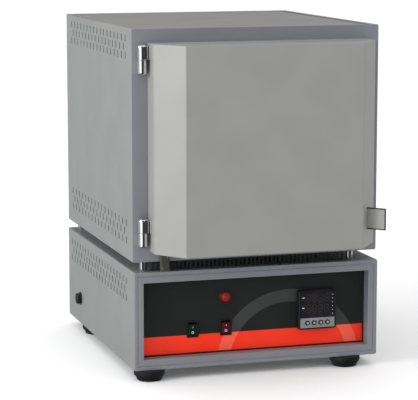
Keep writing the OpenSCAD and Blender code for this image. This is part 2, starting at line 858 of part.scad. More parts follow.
// Barrel of one half with a softened closed end at z = h
module hinge_barrel(h) {
    soft = 3;
    rotate_extrude() polygon([[0, 0], [hinge_r, 0], [hinge_r, h - soft], [hinge_r - 0.9, h - 0.9],
        [hinge_r - soft, h], [0, h]]);
}

module hinge_frame_halves() {
    color(chrome) for (z = hinge_z) difference() {
        union() {
            translate([hinge_x, hinge_y, z]) mirror([0, 0, 1]) hinge_barrel(hinge_half);
            block([hinge_x - 6.5, hinge_y, z - hinge_half + 2], [hinge_x + 6.5, front_y, z]);
        }
        translate([hinge_x, hinge_y, z - 18]) cylinder(r = pin_r, h = 30);
    }
}

module hinge_door_halves() {
    lift = 0.3;
    leaf_t = 3;
    leaf_x = door_left - leaf_t;
    color(chrome) for (z = hinge_z) difference() {
        union() {
            translate([hinge_x, hinge_y, z + lift]) hinge_barrel(hinge_half);
            block([hinge_x, hinge_y - hinge_r, z + lift], [door_left - 0.02, hinge_y - hinge_r + 4,
                z + hinge_half - 2]);
            block([leaf_x, hinge_y - 14, z + lift], [door_left - 0.02, hinge_y - 2, z + hinge_half - 2]);
        }
        translate([hinge_x, hinge_y, z - 1]) cylinder(r = pin_r + pin_fit, h = 20);
    }
}

module hinge_pins() {
    color(steel) for (z = hinge_z) translate([hinge_x, hinge_y, z - 18])
        cylinder(r = pin_r, h = 18 + 17);
}

base_floor();
base_left_side();
base_right_side();
base_top_plate();
base_rear_panel();
base_front_frame();
control_fascia();
controller_case();
controller_window();
controller_keypad();
controller_key_1();
controller_key_2();
controller_key_3();
controller_key_4();
green_switch_housing();
green_rocker();
red_switch_housing();
red_rocker();
lamp_bezel();
lamp_lens();
feet();
foot_screws();
fuse_holder();
fuse_cap();
cable_gland();
terminal_block();
power_relay();
heat_sink();
standoffs();
gap_baffle();
interlock_switch();
interlock_plunger();
furnace_front_frame();
furnace_left_side();
furnace_right_side();
furnace_top();
furnace_rear();
furnace_floor();
inner_case();
insulation_floor();
insulation_roof();
insulation_left();
insulation_right();
insulation_back();
mouth_bricks();
heating_coil_left();
heating_coil_right();
hearth_plate();
thermocouple();
flue_tube();
element_terminals();
door_cover();
door_inner_plate();
door_insulation();
door_plug();
door_seal();
door_handle();
hinge_frame_halves();
hinge_door_halves();
hinge_pins();
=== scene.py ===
"""The looks of a benchtop chamber kiln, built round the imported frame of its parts."""

import json
import math

import bmesh
import bpy
from bpy.props import FloatProperty, FloatVectorProperty, IntProperty, PointerProperty
from bpy.types import Operator, Panel, PropertyGroup
from mathutils import Matrix, Vector

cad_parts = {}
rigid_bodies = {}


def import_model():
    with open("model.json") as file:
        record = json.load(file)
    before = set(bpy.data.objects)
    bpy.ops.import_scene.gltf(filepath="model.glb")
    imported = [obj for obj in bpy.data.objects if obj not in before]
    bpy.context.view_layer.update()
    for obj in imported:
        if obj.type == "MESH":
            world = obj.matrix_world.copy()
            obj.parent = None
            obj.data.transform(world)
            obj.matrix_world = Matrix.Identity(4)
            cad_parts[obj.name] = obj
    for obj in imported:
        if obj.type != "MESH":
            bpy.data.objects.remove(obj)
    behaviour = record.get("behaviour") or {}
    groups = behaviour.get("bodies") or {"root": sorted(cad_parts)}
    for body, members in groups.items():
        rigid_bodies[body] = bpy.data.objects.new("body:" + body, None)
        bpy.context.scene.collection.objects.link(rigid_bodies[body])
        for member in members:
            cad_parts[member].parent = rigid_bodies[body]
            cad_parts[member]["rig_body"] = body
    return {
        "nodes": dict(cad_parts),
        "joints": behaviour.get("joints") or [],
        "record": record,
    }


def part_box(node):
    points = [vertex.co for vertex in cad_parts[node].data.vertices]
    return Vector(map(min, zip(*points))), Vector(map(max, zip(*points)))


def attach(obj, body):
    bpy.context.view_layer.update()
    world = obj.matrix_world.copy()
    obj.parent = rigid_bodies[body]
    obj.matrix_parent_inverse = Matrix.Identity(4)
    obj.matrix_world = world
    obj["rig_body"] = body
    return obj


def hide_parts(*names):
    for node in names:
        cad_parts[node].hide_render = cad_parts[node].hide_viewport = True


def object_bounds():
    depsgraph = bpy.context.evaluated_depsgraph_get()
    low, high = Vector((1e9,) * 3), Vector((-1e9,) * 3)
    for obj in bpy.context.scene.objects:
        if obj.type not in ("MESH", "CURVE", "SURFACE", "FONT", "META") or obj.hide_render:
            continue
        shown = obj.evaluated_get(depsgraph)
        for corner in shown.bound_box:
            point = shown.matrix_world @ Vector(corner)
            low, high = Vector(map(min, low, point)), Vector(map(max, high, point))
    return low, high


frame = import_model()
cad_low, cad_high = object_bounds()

bl_info = {
    "name": "Benchtop chamber kiln",
    "version": (1, 0, 0),
    "blender": (4, 5, 0),
    "location": "3D View > Sidebar > Kiln",
    "description": "Builds the casing, door, chamber, controls and fittings of a benchtop chamber kiln",
    "category": "Object",
}

# Sizes that more than one piece shares
MM = 0.001
SHEET = 1.5 * MM
VENT_SLOT = (5 * MM, 13 * MM)
HINGE_SPLITS = (268 * MM, 572 * MM)
HINGE_HALF = 25.85 * MM
HINGE_R = 8.5 * MM
FRAME_SCREW_R = 2.1 * MM
GLAND_HOLE_R = 10 * MM
STANDOFF_X = (-209 * MM, 181 * MM)
ROCKER_TILT = math.radians(9)
FASCIA_HALF = Vector((212.5 * MM, 69 * MM))
# Inset and rise of the section of the black bead that paints shade round the fascia, from the wall of
# the recess round to the fascia
SHADE_BEAD_SECTION = [(0.05 * MM, 0.03 * MM), (0.05 * MM, 2.6 * MM), (0.9 * MM, 2.4 * MM),
                (1.8 * MM, 1.7 * MM), (2.3 * MM, 0.8 * MM), (2.4 * MM, 0.03 * MM)]

# Main boxes, read from the frame
FURNACE_LOW = Vector((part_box("furnace_left_side")[0].x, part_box("furnace_front_frame")[0].y,
                      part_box("furnace_front_frame")[0].z))
FURNACE_HIGH = Vector((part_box("furnace_right_side")[1].x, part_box("furnace_rear")[1].y,
                       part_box("furnace_front_frame")[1].z))
BASE_LOW, BASE_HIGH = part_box("base_front_frame")
BASE_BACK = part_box("base_rear_panel")[1].y
DOOR_LOW, DOOR_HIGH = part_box("door_cover")
FASCIA_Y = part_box("control_fascia")[0].y
MOUTH_LOW = Vector((-105 * MM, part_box("mouth_bricks")[0].y, 318 * MM))
MOUTH_HIGH = Vector((105 * MM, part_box("mouth_bricks")[1].y, 508 * MM))
CHAMBER = frame["record"]["physics"]["openings"][0]["box_m"]
CHAMBER_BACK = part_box("insulation_back")[0].y


def joint_place(name):
    """Where a joint's axis passes, in the frame's own place."""
    found = next(joint for joint in frame["joints"] if joint["name"] == name)
    return Vector(found["pos_m"])


def front_middle(low, high):
    """The x and z of the middle of a box, seen from the front."""
    return (low.x + high.x) / 2, (low.z + high.z) / 2


def tone(red, green, blue):
    """A linear colour from its values on a 0 to 255 display scale."""
    scaled = (value / 255 for value in (red, green, blue))
    return tuple(v / 12.92 if v <= 0.04045 else ((v + 0.055) / 1.055) ** 2.4 for v in scaled)


# ---- Settings ----


def paint(name, description, default):
    """A colour that the user can change."""
    return FloatVectorProperty(name=name, description=description, subtype="COLOR", size=3,
                               min=0.0, max=1.0, default=default)


def size(name, description, default, low, high):
    """A length that the user can change."""
    return FloatProperty(name=name, description=description, subtype="DISTANCE", unit="LENGTH",
                         default=default, min=low, max=high)


class KilnColours(PropertyGroup):
    """Colours of the finishes."""

    side: paint("Side sheets", "Light powder coat of the side and rear sheets", tone(124, 126, 125))
    front: paint("Front frames", "Darker powder coat of the two front frames", tone(119, 121, 127))
    door: paint("Door", "Powder coat of the door cover and its pull tab", tone(135, 135, 133))
    top: paint("Top", "Powder coat of the pressed top", tone(126, 124, 123))
    fascia: paint("Fascia", "Dark field of the control fascia", tone(33, 35, 34))
    stripe: paint("Stripe", "Warm field along the foot of the fascia", (0.95, 0.028, 0.003))
    green: paint("Green rocker", "Tint of the left rocker", (0.002, 0.022, 0.011))
    red: paint("Red rocker", "Tint of the right rocker", (0.075, 0.003, 0.005))
    fibre: paint("Ceramic fibre", "Wall blocks, door plug and blanket", (0.78, 0.75, 0.68))
    brick: paint("Mouth bricks", "Hard bricks round the mouth", (0.70, 0.58, 0.43))


class KilnSizes(PropertyGroup):
    """Sizes that belong to the looks and not to the fit."""

    edge: size("Edge", "Rounding of cut sheet edges", 0.45 * MM, 0.1 * MM, 1.0 * MM)
    bend: size("Bend", "Outer radius where sheet is folded", 2.2 * MM, 1.0 * MM, 4.0 * MM)
    grain: size("Grain", "Size of the dimples in the powder coat", 0.9 * MM, 0.3 * MM, 3.0 * MM)
    wire: size("Wire", "Radius of the heating wire", 0.55 * MM, 0.3 * MM, 0.9 * MM)
    turn: size("Turn", "Distance between turns of the heating wire", 3.2 * MM, 2.0 * MM, 6.0 * MM)
    round_steps: IntProperty(name="Round steps", description="Steps round a turned piece",
                             default=64, min=24, max=128)


def colours():
    """The colours that the panel shows."""
    return bpy.context.scene.kiln_colours


def sizes():
    """The sizes that the panel shows."""
    return bpy.context.scene.kiln_sizes


# ---- Node trees ----


class Bench:
    """Adds nodes to one tree and joins their sockets."""

    def __init__(self, tree):
        self.tree = tree
        tree.nodes.clear()

    def join(self, value, socket):
        """Links a socket, or sets a plain value on it."""
        if isinstance(value, bpy.types.NodeSocket):
            self.tree.links.new(value, socket)
        elif socket.type == "RGBA" and len(value) == 3:
            socket.default_value = (*value, 1.0)
        else:
            socket.default_value = value

    def node(self, kind, values=None, **settings):
        """A new node with its settings, and with its inputs joined to values."""
        made = self.tree.nodes.new(kind)
        for key, value in settings.items():
            setattr(made, key, value)
        for key, value in (values or {}).items():
            self.join(value, made.inputs[key])
        return made

    def math(self, operation, *values):
        made = self.node("ShaderNodeMath", operation=operation)
        for value, socket in zip(values, made.inputs):
            self.join(value, socket)
        return made.outputs[0]

    def vector(self, operation, *values):
        made = self.node("ShaderNodeVectorMath", operation=operation)
        for value, socket in zip(values, made.inputs):
            self.join(value, socket)
        return made.outputs["Value" if operation in {"DOT_PRODUCT", "LENGTH", "DISTANCE"} else "Vector"]

    def mix(self, factor, first, second):
        made = self.node("ShaderNodeMix", data_type="RGBA")
        for value, index in ((factor, 0), (first, 6), (second, 7)):
            self.join(value, made.inputs[index])
        return made.outputs[2]

    def spread(self, value, low, high, start=0.0, end=1.0):
        """A soft step from start to end as value goes from low to high, which may lie either way."""
        if low > high:
            low, high, start, end = high, low, end, start
        made = self.node("ShaderNodeMapRange", interpolation_type="SMOOTHSTEP")
        for part, index in ((value, 0), (low, 1), (high, 2), (start, 3), (end, 4)):
            self.join(part, made.inputs[index])
        return made.outputs[0]

    def noise(self, place, scale, detail=2.0, roughness=0.5):
        made = self.node("ShaderNodeTexNoise", {"Vector": place, "Scale": scale, "Detail": detail,
                                                "Roughness": roughness})
        return made.outputs[0]

    def effect(self, name, **values):
        """A shared effect, placed with this material's own values."""
        made = self.node("ShaderNodeGroup", node_tree=effect_tree(name))
        for key, value in values.items():
            self.join(value, made.inputs[key.replace("_", " ").capitalize()])
        return made.outputs

    def own_place(self):
        """Where a point lies on its own piece, which stays put when the piece moves."""
        return self.node("ShaderNodeTexCoord").outputs["Object"]


def powder_grain(bench, ports):
    """Dimples of sprayed powder, and a slow change of shade."""
    place = bench.own_place()
    scale = bench.math("DIVIDE", 1.0, ports["Size"])
    fine = bench.noise(place, scale, 3.0, 0.6)
    slow = bench.noise(place, bench.math("MULTIPLY", scale, 0.012), 3.0)
    return {"Height": fine, "Shade": bench.spread(slow, 0.3, 0.7)}


def edge_wear(bench, ports):
    """Edges where handling has rubbed the finish, broken up so that no edge is evenly worn."""
    bevel = bench.node("ShaderNodeBevel", {"Radius": ports["Reach"]}, samples=4)
    flat = bench.node("ShaderNodeNewGeometry").outputs["True Normal"]
    turned = bench.math("SUBTRACT", 1.0, bench.vector("DOT_PRODUCT", bevel.outputs[0], flat))
    broken = bench.spread(bench.noise(bench.own_place(), 55.0, 5.0, 0.65), 0.42, 0.68)
    edge = bench.spread(turned, 0.02, 0.2)
    return {"Mask": bench.math("MULTIPLY", bench.math("MULTIPLY", edge, broken), ports["Amount"])}


def settled_dust(bench, ports):
    """Dust lies on what faces up, in soft patches."""
    normal = bench.node("ShaderNodeNewGeometry").outputs["Normal"]
    up = bench.spread(bench.vector("DOT_PRODUCT", normal, (0.0, 0.0, 1.0)), 0.55, 1.0)
    patch = bench.spread(bench.noise(bench.own_place(), 14.0, 6.0, 0.6), 0.3, 0.75, 0.35, 1.0)
    return {"Mask": bench.math("MULTIPLY", bench.math("MULTIPLY", up, patch), ports["Amount"])}


def hand_smudges(bench, ports):
    """Wiped and handled patches, for gloss and a little colour."""
    scale = bench.math("DIVIDE", 1.0, ports["Size"])
    cloud = bench.noise(bench.own_place(), scale, 5.0, 0.55)
    return {"Mask": bench.spread(cloud, 0.35, 0.72)}


def fibre_felt(bench, ports):
    """Short fibres that lie every way, with pits between them."""
    scale = bench.math("DIVIDE", 1.0, ports["Size"])
    place = bench.own_place()
    strands = [bench.noise(bench.vector("MULTIPLY", place, stretch), scale, 3.0, 0.7)
               for stretch in ((1.0, 0.16, 1.0), (0.18, 1.0, 0.5), (1.0, 0.6, 0.14))]
    height = bench.math("MAXIMUM", bench.math("MAXIMUM", strands[0], strands[1]), strands[2])
    slow = bench.noise(place, 22.0, 4.0)
    return {"Height": bench.spread(height, 0.4, 0.75), "Shade": bench.spread(slow, 0.32, 0.68)}


def brushed_lines(bench, ports):
    """Fine lines left by rolling or brushing; Stretch is small along the lines."""
    place = bench.vector("MULTIPLY", bench.own_place(), ports["Stretch"])
    lines = bench.noise(place, 2400.0, 3.0, 0.6)
    broad = bench.noise(place, 260.0, 2.0)
    return {"Height": lines, "Shade": bench.spread(bench.math("ADD", lines, broad), 0.75, 1.25)}


def heat_stain(bench, ports):
    """Darkening from the firing chamber outwards."""
    low, high = Vector(CHAMBER[0]), Vector(CHAMBER[1])
    offset = bench.vector("SUBTRACT", bench.own_place(), tuple((low + high) / 2))
    reach = bench.vector("LENGTH", bench.vector("MULTIPLY", offset, (1.0, 0.62, 1.0)))
    cloud = bench.noise(bench.own_place(), 26.0, 4.0, 0.6)
    ragged = bench.math("ADD", reach, bench.math("MULTIPLY", cloud, 0.06))
    return {"Mask": bench.math("MULTIPLY", bench.spread(ragged, 0.20, 0.10), ports["Amount"])}


EFFECTS = {
    "Powder grain": (powder_grain, {"Size": MM}, ("Height", "Shade")),
    "Edge wear": (edge_wear, {"Reach": 1.5 * MM, "Amount": 0.5}, ("Mask",)),
    "Settled dust": (settled_dust, {"Amount": 0.3}, ("Mask",)),
    "Hand smudges": (hand_smudges, {"Size": 0.09}, ("Mask",)),
    "Fibre felt": (fibre_felt, {"Size": 1.2 * MM}, ("Height", "Shade")),
    "Brushed lines": (brushed_lines, {"Stretch": (1.0, 1.0, 0.02)}, ("Height", "Shade")),
    "Heat stain": (heat_stain, {"Amount": 0.4}, ("Mask",)),
}


def effect_tree(name):
    """The node group of a shared effect, built the first time it is asked for."""
    if name in bpy.data.node_groups:
        return bpy.data.node_groups[name]
    build, inputs, outputs = EFFECTS[name]
    tree = bpy.data.node_groups.new(name, "ShaderNodeTree")
    for label, default in inputs.items():
        kind = "NodeSocketVector" if isinstance(default, tuple) else "NodeSocketFloat"
        tree.interface.new_socket(label, in_out="INPUT", socket_type=kind).default_value = default
    for label in outputs:
        tree.interface.new_socket(label, in_out="OUTPUT", socket_type="NodeSocketFloat")
    bench = Bench(tree)
    made = build(bench, bench.node("NodeGroupInput").outputs)
    bench.node("NodeGroupOutput", made)
    return tree


MADE = {}


def new_finish(name):
    """An empty material with one surface shader, kept in MADE under its name."""
    material = bpy.data.materials.new(name.replace("_", " ").capitalize() + " finish")
    MADE[name] = material
    material.use_nodes = True
    bench = Bench(material.node_tree)
    shader = bench.node("ShaderNodeBsdfPrincipled")
    bench.node("ShaderNodeOutputMaterial", {"Surface": shader.outputs[0]})
    return bench, shader


def relief(bench, shader, height, depth):
    """Bump from a height, with its real depth in metres."""
    bump = bench.node("ShaderNodeBump", {"Height": height, "Distance": depth})
    bench.join(bump.outputs[0], shader.inputs["Normal"])


def darker(colour, share):
    """A colour with each part scaled, darker for a share below 1."""
    return tuple(part * share for part in colour)


# ---- Finishes ----


def powder_coat(name, colour, gloss=0.42, worn=0.35, dust=0.25, bare=tone(150, 150, 148)):
    """Sprayed and baked powder on steel."""
    bench, shader = new_finish(name)
    grain = bench.effect("Powder grain", size=sizes().grain)
    smudge = bench.effect("Hand smudges", size=0.11)["Mask"]
    shaded = bench.mix(grain["Shade"], darker(colour, 0.97), darker(colour, 1.03))
    smeared = bench.mix(bench.math("MULTIPLY", smudge, 0.10), shaded, darker(colour, 0.86))
    dusty = bench.mix(bench.effect("Settled dust", amount=dust)["Mask"], smeared, tone(150, 149, 146))
    wear = bench.effect("Edge wear", reach=1.4 * MM, amount=worn)["Mask"]
    bench.join(bench.mix(wear, dusty, bare), shader.inputs["Base Color"])
    bench.join(bench.spread(smudge, 0.0, 1.0, gloss, gloss + 0.06), shader.inputs["Roughness"])
    relief(bench, shader, grain["Height"], 0.035 * MM)


def bare_metal(name, colour, gloss, stretch, worn=0.3, depth=0.012 * MM, haze=0.09):
    """Rolled or brushed metal with its lines and fingermarks."""
    bench, shader = new_finish(name)
    lines = bench.effect("Brushed lines", stretch=stretch)
    smudge = bench.effect("Hand smudges", size=0.05)["Mask"]
    wear = bench.effect("Edge wear", reach=0.8 * MM, amount=worn)["Mask"]
    lined = bench.mix(lines["Shade"], darker(colour, 0.88), colour)
    bench.join(bench.mix(wear, lined, darker(colour, 1.12)), shader.inputs["Base Color"])
    rough = bench.math("ADD", bench.spread(lines["Shade"], 0.0, 1.0, gloss, gloss + 0.7 * haze),
                       bench.math("MULTIPLY", smudge, haze))
    bench.join(rough, shader.inputs["Roughness"])
    shader.inputs["Metallic"].default_value = 1.0
    relief(bench, shader, lines["Height"], depth)


def moulded(name, colour, gloss, grain=0.5 * MM, depth=0.012 * MM, worn=0.25, coat=0.0, shine=0.5,
            dust=0.2):
    """Moulded plastic or rubber with a fine skin."""
    bench, shader = new_finish(name)
    skin = bench.effect("Powder grain", size=grain)
    smudge = bench.effect("Hand smudges", size=0.03)["Mask"]
    wear = bench.effect("Edge wear", reach=0.7 * MM, amount=worn)["Mask"]
    dusted = bench.effect("Settled dust", amount=dust)["Mask"]
    shaded = bench.mix(skin["Shade"], darker(colour, 0.86), darker(colour, 1.12))
    dusty = bench.mix(dusted, shaded, tone(150, 146, 140))
    pale = tuple(0.8 * part + 0.02 for part in colour)
    bench.join(bench.mix(wear, dusty, pale), shader.inputs["Base Color"])
    bench.join(bench.spread(smudge, 0.0, 1.0, gloss, gloss + 0.14), shader.inputs["Roughness"])
    shader.inputs["Coat Weight"].default_value = coat
    shader.inputs["Specular IOR Level"].default_value = shine
    relief(bench, shader, skin["Height"], depth)


def lamp_red():
    """Clear red lens with fine rings, brighter red towards its middle; its colour by radius paints the
    look of a reflector behind it: a paler pink ring of painted reflection and a darker rim.
    """
    bench, shader = new_finish("lamp_red")
    low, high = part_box("lamp_lens")
    x, z = front_middle(low, high)
    flat = bench.vector("MULTIPLY", bench.own_place(), (1.0, 0.0, 1.0))
    away = bench.vector("DISTANCE", flat, (x, 0.0, z))
    rings = bench.math("SINE", bench.math("MULTIPLY", away, 4200.0))
    middle = bench.spread(away, 4.6 * MM, 3.2 * MM)
    rim = bench.spread(away, 7.4 * MM, 8.8 * MM)
    # Painted reflection: the paler pink ring stands for light off a reflector that is not built; the
    # rim is painted darker.
    pale = bench.mix(rim, (0.20, 0.020, 0.016), (0.035, 0.001, 0.001))
    bench.join(bench.mix(middle, pale, (0.38, 0.0005, 0.0005)), shader.inputs["Base Color"])
    bench.join(bench.spread(rings, -1.0, 1.0, 0.30, 0.38), shader.inputs["Roughness"])
    shader.inputs["Specular IOR Level"].default_value = 0.35
    relief(bench, shader, rings, 0.03 * MM)


def smoked_window():
    """Dark polished window of the controller, with faint wiping marks."""
    bench, shader = new_finish("smoked_window")
    smudge = bench.effect("Hand smudges", size=0.018)["Mask"]
    dust = bench.noise(bench.own_place(), 3200.0, 2.0)
    specks = bench.math("MULTIPLY", bench.spread(dust, 0.70, 0.78), 0.25)
    base = bench.mix(smudge, (0.011, 0.011, 0.015), (0.016, 0.015, 0.019))
    bench.join(bench.mix(specks, base, (0.10, 0.10, 0.10)), shader.inputs["Base Color"])
    bench.join(bench.spread(smudge, 0.0, 1.0, 0.10, 0.2), shader.inputs["Roughness"])
    relief(bench, shader, smudge, 0.002 * MM)


def digit_grey():
    """Unlit segments behind the window."""
    bench, shader = new_finish("digit_grey")
    fine = bench.noise(bench.own_place(), 5200.0, 2.0)
    bench.join(bench.mix(fine, (0.018, 0.014, 0.013), (0.042, 0.032, 0.030)),
               shader.inputs["Base Color"])
    bench.join(bench.spread(fine, 0.3, 0.7, 0.18, 0.3), shader.inputs["Roughness"])


def keypad_film():
    """Printed grey film, a little darker where smudged."""
    bench, shader = new_finish("keypad_film")
    weave = bench.effect("Powder grain", size=0.35 * MM)
    smudge = bench.effect("Hand smudges", size=0.02)["Mask"]
    colour = bench.mix(weave["Shade"], tone(120, 122, 124), tone(134, 136, 138))
    bench.join(bench.mix(bench.math("MULTIPLY", smudge, 0.3), colour, tone(108, 110, 112)),
               shader.inputs["Base Color"])
    bench.join(bench.spread(smudge, 0.0, 1.0, 0.32, 0.46), shader.inputs["Roughness"])
    relief(bench, shader, weave["Height"], 0.008 * MM)


def white_print():
    """Small printed or moulded marks."""
    bench, shader = new_finish("white_print")
    fleck = bench.noise(bench.own_place(), 2600.0, 4.0, 0.7)
    bench.join(bench.mix(bench.spread(fleck, 0.3, 0.55), tone(170, 172, 168), tone(214, 216, 212)),
               shader.inputs["Base Color"])
    bench.join(bench.spread(fleck, 0.3, 0.7, 0.4, 0.55), shader.inputs["Roughness"])


def fascia_film():
    """Printed film: dark field above, warm stripe below, and one plain lighter arch over both."""
    bench, shader = new_finish("fascia_film")
    stripe_top, crisp = 74.2 * MM, 0.25 * MM
    arch_middle, arch_radius, arch_half = (66 * MM, 0.0, 10 * MM), 125.5 * MM, 11.5 * MM
    parts = bench.node("ShaderNodeSeparateXYZ", {0: bench.own_place()}).outputs
    warm = bench.spread(parts["Z"], stripe_top + crisp, stripe_top - crisp)
    flat = bench.vector("MULTIPLY", bench.own_place(), (1.0, 0.0, 1.0))
    away = bench.math("SUBTRACT", bench.vector("DISTANCE", flat, arch_middle), arch_radius)
    arch = bench.spread(bench.math("ABSOLUTE", away), arch_half + crisp, arch_half - crisp)
    dark, stripe = tuple(colours().fascia), tuple(colours().stripe)
    upper = bench.mix(arch, dark, tone(60, 62, 61))
    lower = bench.mix(arch, stripe, (0.95, 0.105, 0.055))
    fleck = bench.effect("Powder grain", size=0.5 * MM)
    smudge = bench.effect("Hand smudges", size=0.06)["Mask"]
    printed = bench.mix(warm, upper, lower)
    shaded = bench.mix(bench.math("MULTIPLY", fleck["Shade"], 0.06), printed, darker(dark, 0.6))
    bench.join(shaded, shader.inputs["Base Color"])
    bench.join(bench.spread(smudge, 0.0, 1.0, 0.28, 0.42), shader.inputs["Roughness"])
    shader.inputs["Specular IOR Level"].default_value = 0.35
    relief(bench, shader, fleck["Height"], 0.010 * MM)


def fired(name, colour, felt, depth, stain, rough=0.92, speck=None):
    """Ceramic that has been through many firings."""
    bench, shader = new_finish(name)
    fibres = bench.effect("Fibre felt", size=felt)
    heat = bench.effect("Heat stain", amount=stain)["Mask"]
    wear = bench.effect("Edge wear", reach=2.0 * MM, amount=0.35)["Mask"]
    shaded = bench.mix(fibres["Shade"], darker(colour, 0.88), darker(colour, 1.04))
    if speck:
        pores = bench.node("ShaderNodeTexVoronoi", {"Vector": bench.own_place(), "Scale": 520.0})
        mask = bench.spread(pores.outputs["Distance"], 0.26, 0.12)
        shaded = bench.mix(bench.math("MULTIPLY", mask, 0.55), shaded, speck)
    stained = bench.mix(heat, shaded, darker(colour, 0.62))
    bench.join(bench.mix(wear, stained, darker(colour, 1.1)), shader.inputs["Base Color"])
    bench.join(bench.spread(fibres["Height"], 0.0, 1.0, rough, rough - 0.12),
               shader.inputs["Roughness"])
    relief(bench, shader, fibres["Height"], depth)


def coil_wire():
    """Heating wire with the scaly oxide that firing leaves."""
    bench, shader = new_finish("coil_wire")
    scale = bench.noise(bench.own_place(), 700.0, 5.0, 0.65)
    heat = bench.effect("Heat stain", amount=0.6)["Mask"]
    colour = bench.mix(bench.spread(scale, 0.35, 0.65), (0.10, 0.075, 0.065), (0.26, 0.20, 0.17))
    bench.join(bench.mix(heat, colour, (0.09, 0.07, 0.065)), shader.inputs["Base Color"])
    bench.join(bench.spread(scale, 0.3, 0.7, 0.45, 0.75), shader.inputs["Roughness"])
    bench.join(bench.spread(scale, 0.4, 0.6, 0.5, 0.85), shader.inputs["Metallic"])
    relief(bench, shader, scale, 0.05 * MM)


# Finishes that share a recipe: the recipe, a colour or the name of a panel colour, and its values
SHARED = {
    "side_paint": (powder_coat, "side", {}),
    "frame_paint": (powder_coat, "front", {"gloss": 0.4}),
    "door_paint": (powder_coat, "door", {"gloss": 0.38}),
    "top_paint": (powder_coat, "top", {"gloss": 0.46, "dust": 0.2}),
    "black_paint": (powder_coat, (0.012, 0.012, 0.013), {"gloss": 0.5, "bare": tone(96, 96, 96)}),
    "zinc_steel": (bare_metal, (0.58, 0.59, 0.60), {"gloss": 0.34, "stretch": (1.0, 0.05, 1.0)}),
    "chrome": (bare_metal, (0.80, 0.81, 0.82), {
        "gloss": 0.04, "stretch": (1.0, 1.0, 0.2), "worn": 0.1, "depth": 0.0005 * MM, "haze": 0.03}),
    "bare_aluminium": (bare_metal, (0.78, 0.78, 0.79), {"gloss": 0.3, "stretch": (1.0, 0.03, 1.0)}),
    "black_plastic": (moulded, (0.010, 0.010, 0.011), {"gloss": 0.34, "shine": 0.35, "dust": 0.1}),
    "key_rubber": (moulded, tone(150, 152, 154), {"gloss": 0.5, "depth": 0.006 * MM}),
    "green_plastic": (moulded, "green", {
        "gloss": 0.24, "depth": 0.003 * MM, "shine": 0.35, "worn": 0.12, "dust": 0.08}),
    "red_plastic": (moulded, "red", {
        "gloss": 0.24, "depth": 0.003 * MM, "shine": 0.35, "worn": 0.12, "dust": 0.08}),
    "lamp_body": (moulded, (0.09, 0.005, 0.004), {
        "gloss": 0.36, "depth": 0.003 * MM, "shine": 0.35, "dust": 0.05}),
    "rubber": (moulded, (0.007, 0.007, 0.007), {
        "gloss": 0.55, "grain": 0.8 * MM, "depth": 0.03 * MM, "worn": 0.2, "shine": 0.25,
        "dust": 0.05}),
    "brown_bakelite": (moulded, tone(70, 64, 60), {"gloss": 0.3, "depth": 0.006 * MM, "coat": 0.2}),
    "cream_nylon": (moulded, (0.66, 0.63, 0.55), {"gloss": 0.4, "depth": 0.006 * MM}),
    "ceramic_fibre": (fired, "fibre", {"felt": 1.6 * MM, "depth": 0.35 * MM, "stain": 0.5}),
    "fire_brick": (fired, "brick", {
        "felt": 1.1 * MM, "depth": 0.3 * MM, "stain": 0.55, "speck": (0.30, 0.21, 0.13)}),
    "hearth_ceramic": (fired, (0.36, 0.30, 0.25), {
        "felt": 0.9 * MM, "depth": 0.2 * MM, "stain": 0.5, "speck": (0.10, 0.08, 0.07)}),
    "white_ceramic": (fired, (0.76, 0.73, 0.66), {
        "felt": 0.5 * MM, "depth": 0.04 * MM, "stain": 0.25, "rough": 0.45}),
    "seal_rope": (fired, (0.74, 0.72, 0.66), {"felt": 0.8 * MM, "depth": 0.25 * MM, "stain": 0.35}),
}

# Finishes that have a recipe of their own
SINGLE = {build.__name__: build for build in (
    lamp_red, smoked_window, digit_grey, keypad_film, white_print, fascia_film, coil_wire)}


def finish_of(name):
    """The material of a finish, built the first time it is asked for."""
    if name not in MADE and name in SINGLE:
        SINGLE[name]()
    elif name not in MADE:
        build, colour, values = SHARED[name]
        if isinstance(colour, str):
            colour = tuple(getattr(colours(), colour))
        build(name, colour, **values)
    return MADE[name]


# ---- Outlines ----


def arc(middle, radius, start, end, steps):
    """Points of a round stretch between two angles in degrees."""
    angles = [math.radians(start + (end - start) * i / steps) for i in range(steps + 1)]
    return [(middle[0] + radius * math.cos(a), middle[1] + radius * math.sin(a)) for a in angles]


def rounded_box(low, high, radius, steps=4):
    """Rounded rectangle as a function of how far it is shrunk."""
    def outline(inset):
        r = max(radius - inset, 0.02 * MM)
        left, down, right, up = low[0] + inset, low[1] + inset, high[0] - inset, high[1] - inset
        corners = [(right - r, down + r, -90), (right - r, up - r, 0), (left + r, up - r, 90),
                   (left + r, down + r, 180)]
        return [p for x, y, a in corners for p in arc((x, y), r, a, a + 90, steps)]
    return outline


def round_hole(middle, radius, steps=32):
    """Circle as a function of how far it is shrunk."""
    def outline(inset):
        return arc(middle, radius - inset, 0, 360 - 360 / steps, steps - 1)
    return outline


def slot_hole(middle, width, height, steps=5):
    """Slot with round ends as a function of how far it is shrunk."""
    half = Vector((width / 2, height / 2))
    return rounded_box(Vector(middle) - half, Vector(middle) + half, 0.47 * min(width, height), steps)


def shifted(points, distance, closed):
    """The same line moved sideways, to the left of its direction, with its corners kept sharp."""
    count = len(points)
    moved = []
    for i, point in enumerate(points):
        here = Vector(point)
        sides = []
        if closed or i > 0:
            sides.append((here - Vector(points[i - 1])).normalized())
        if closed or i < count - 1:
            sides.append((Vector(points[(i + 1) % count]) - here).normalized())
        normals = [Vector((-s.y, s.x)) for s in sides]
        middle = sum(normals, Vector((0, 0))).normalized()
        moved.append(here + middle * distance / max(middle.dot(normals[0]), 0.2))
    return moved


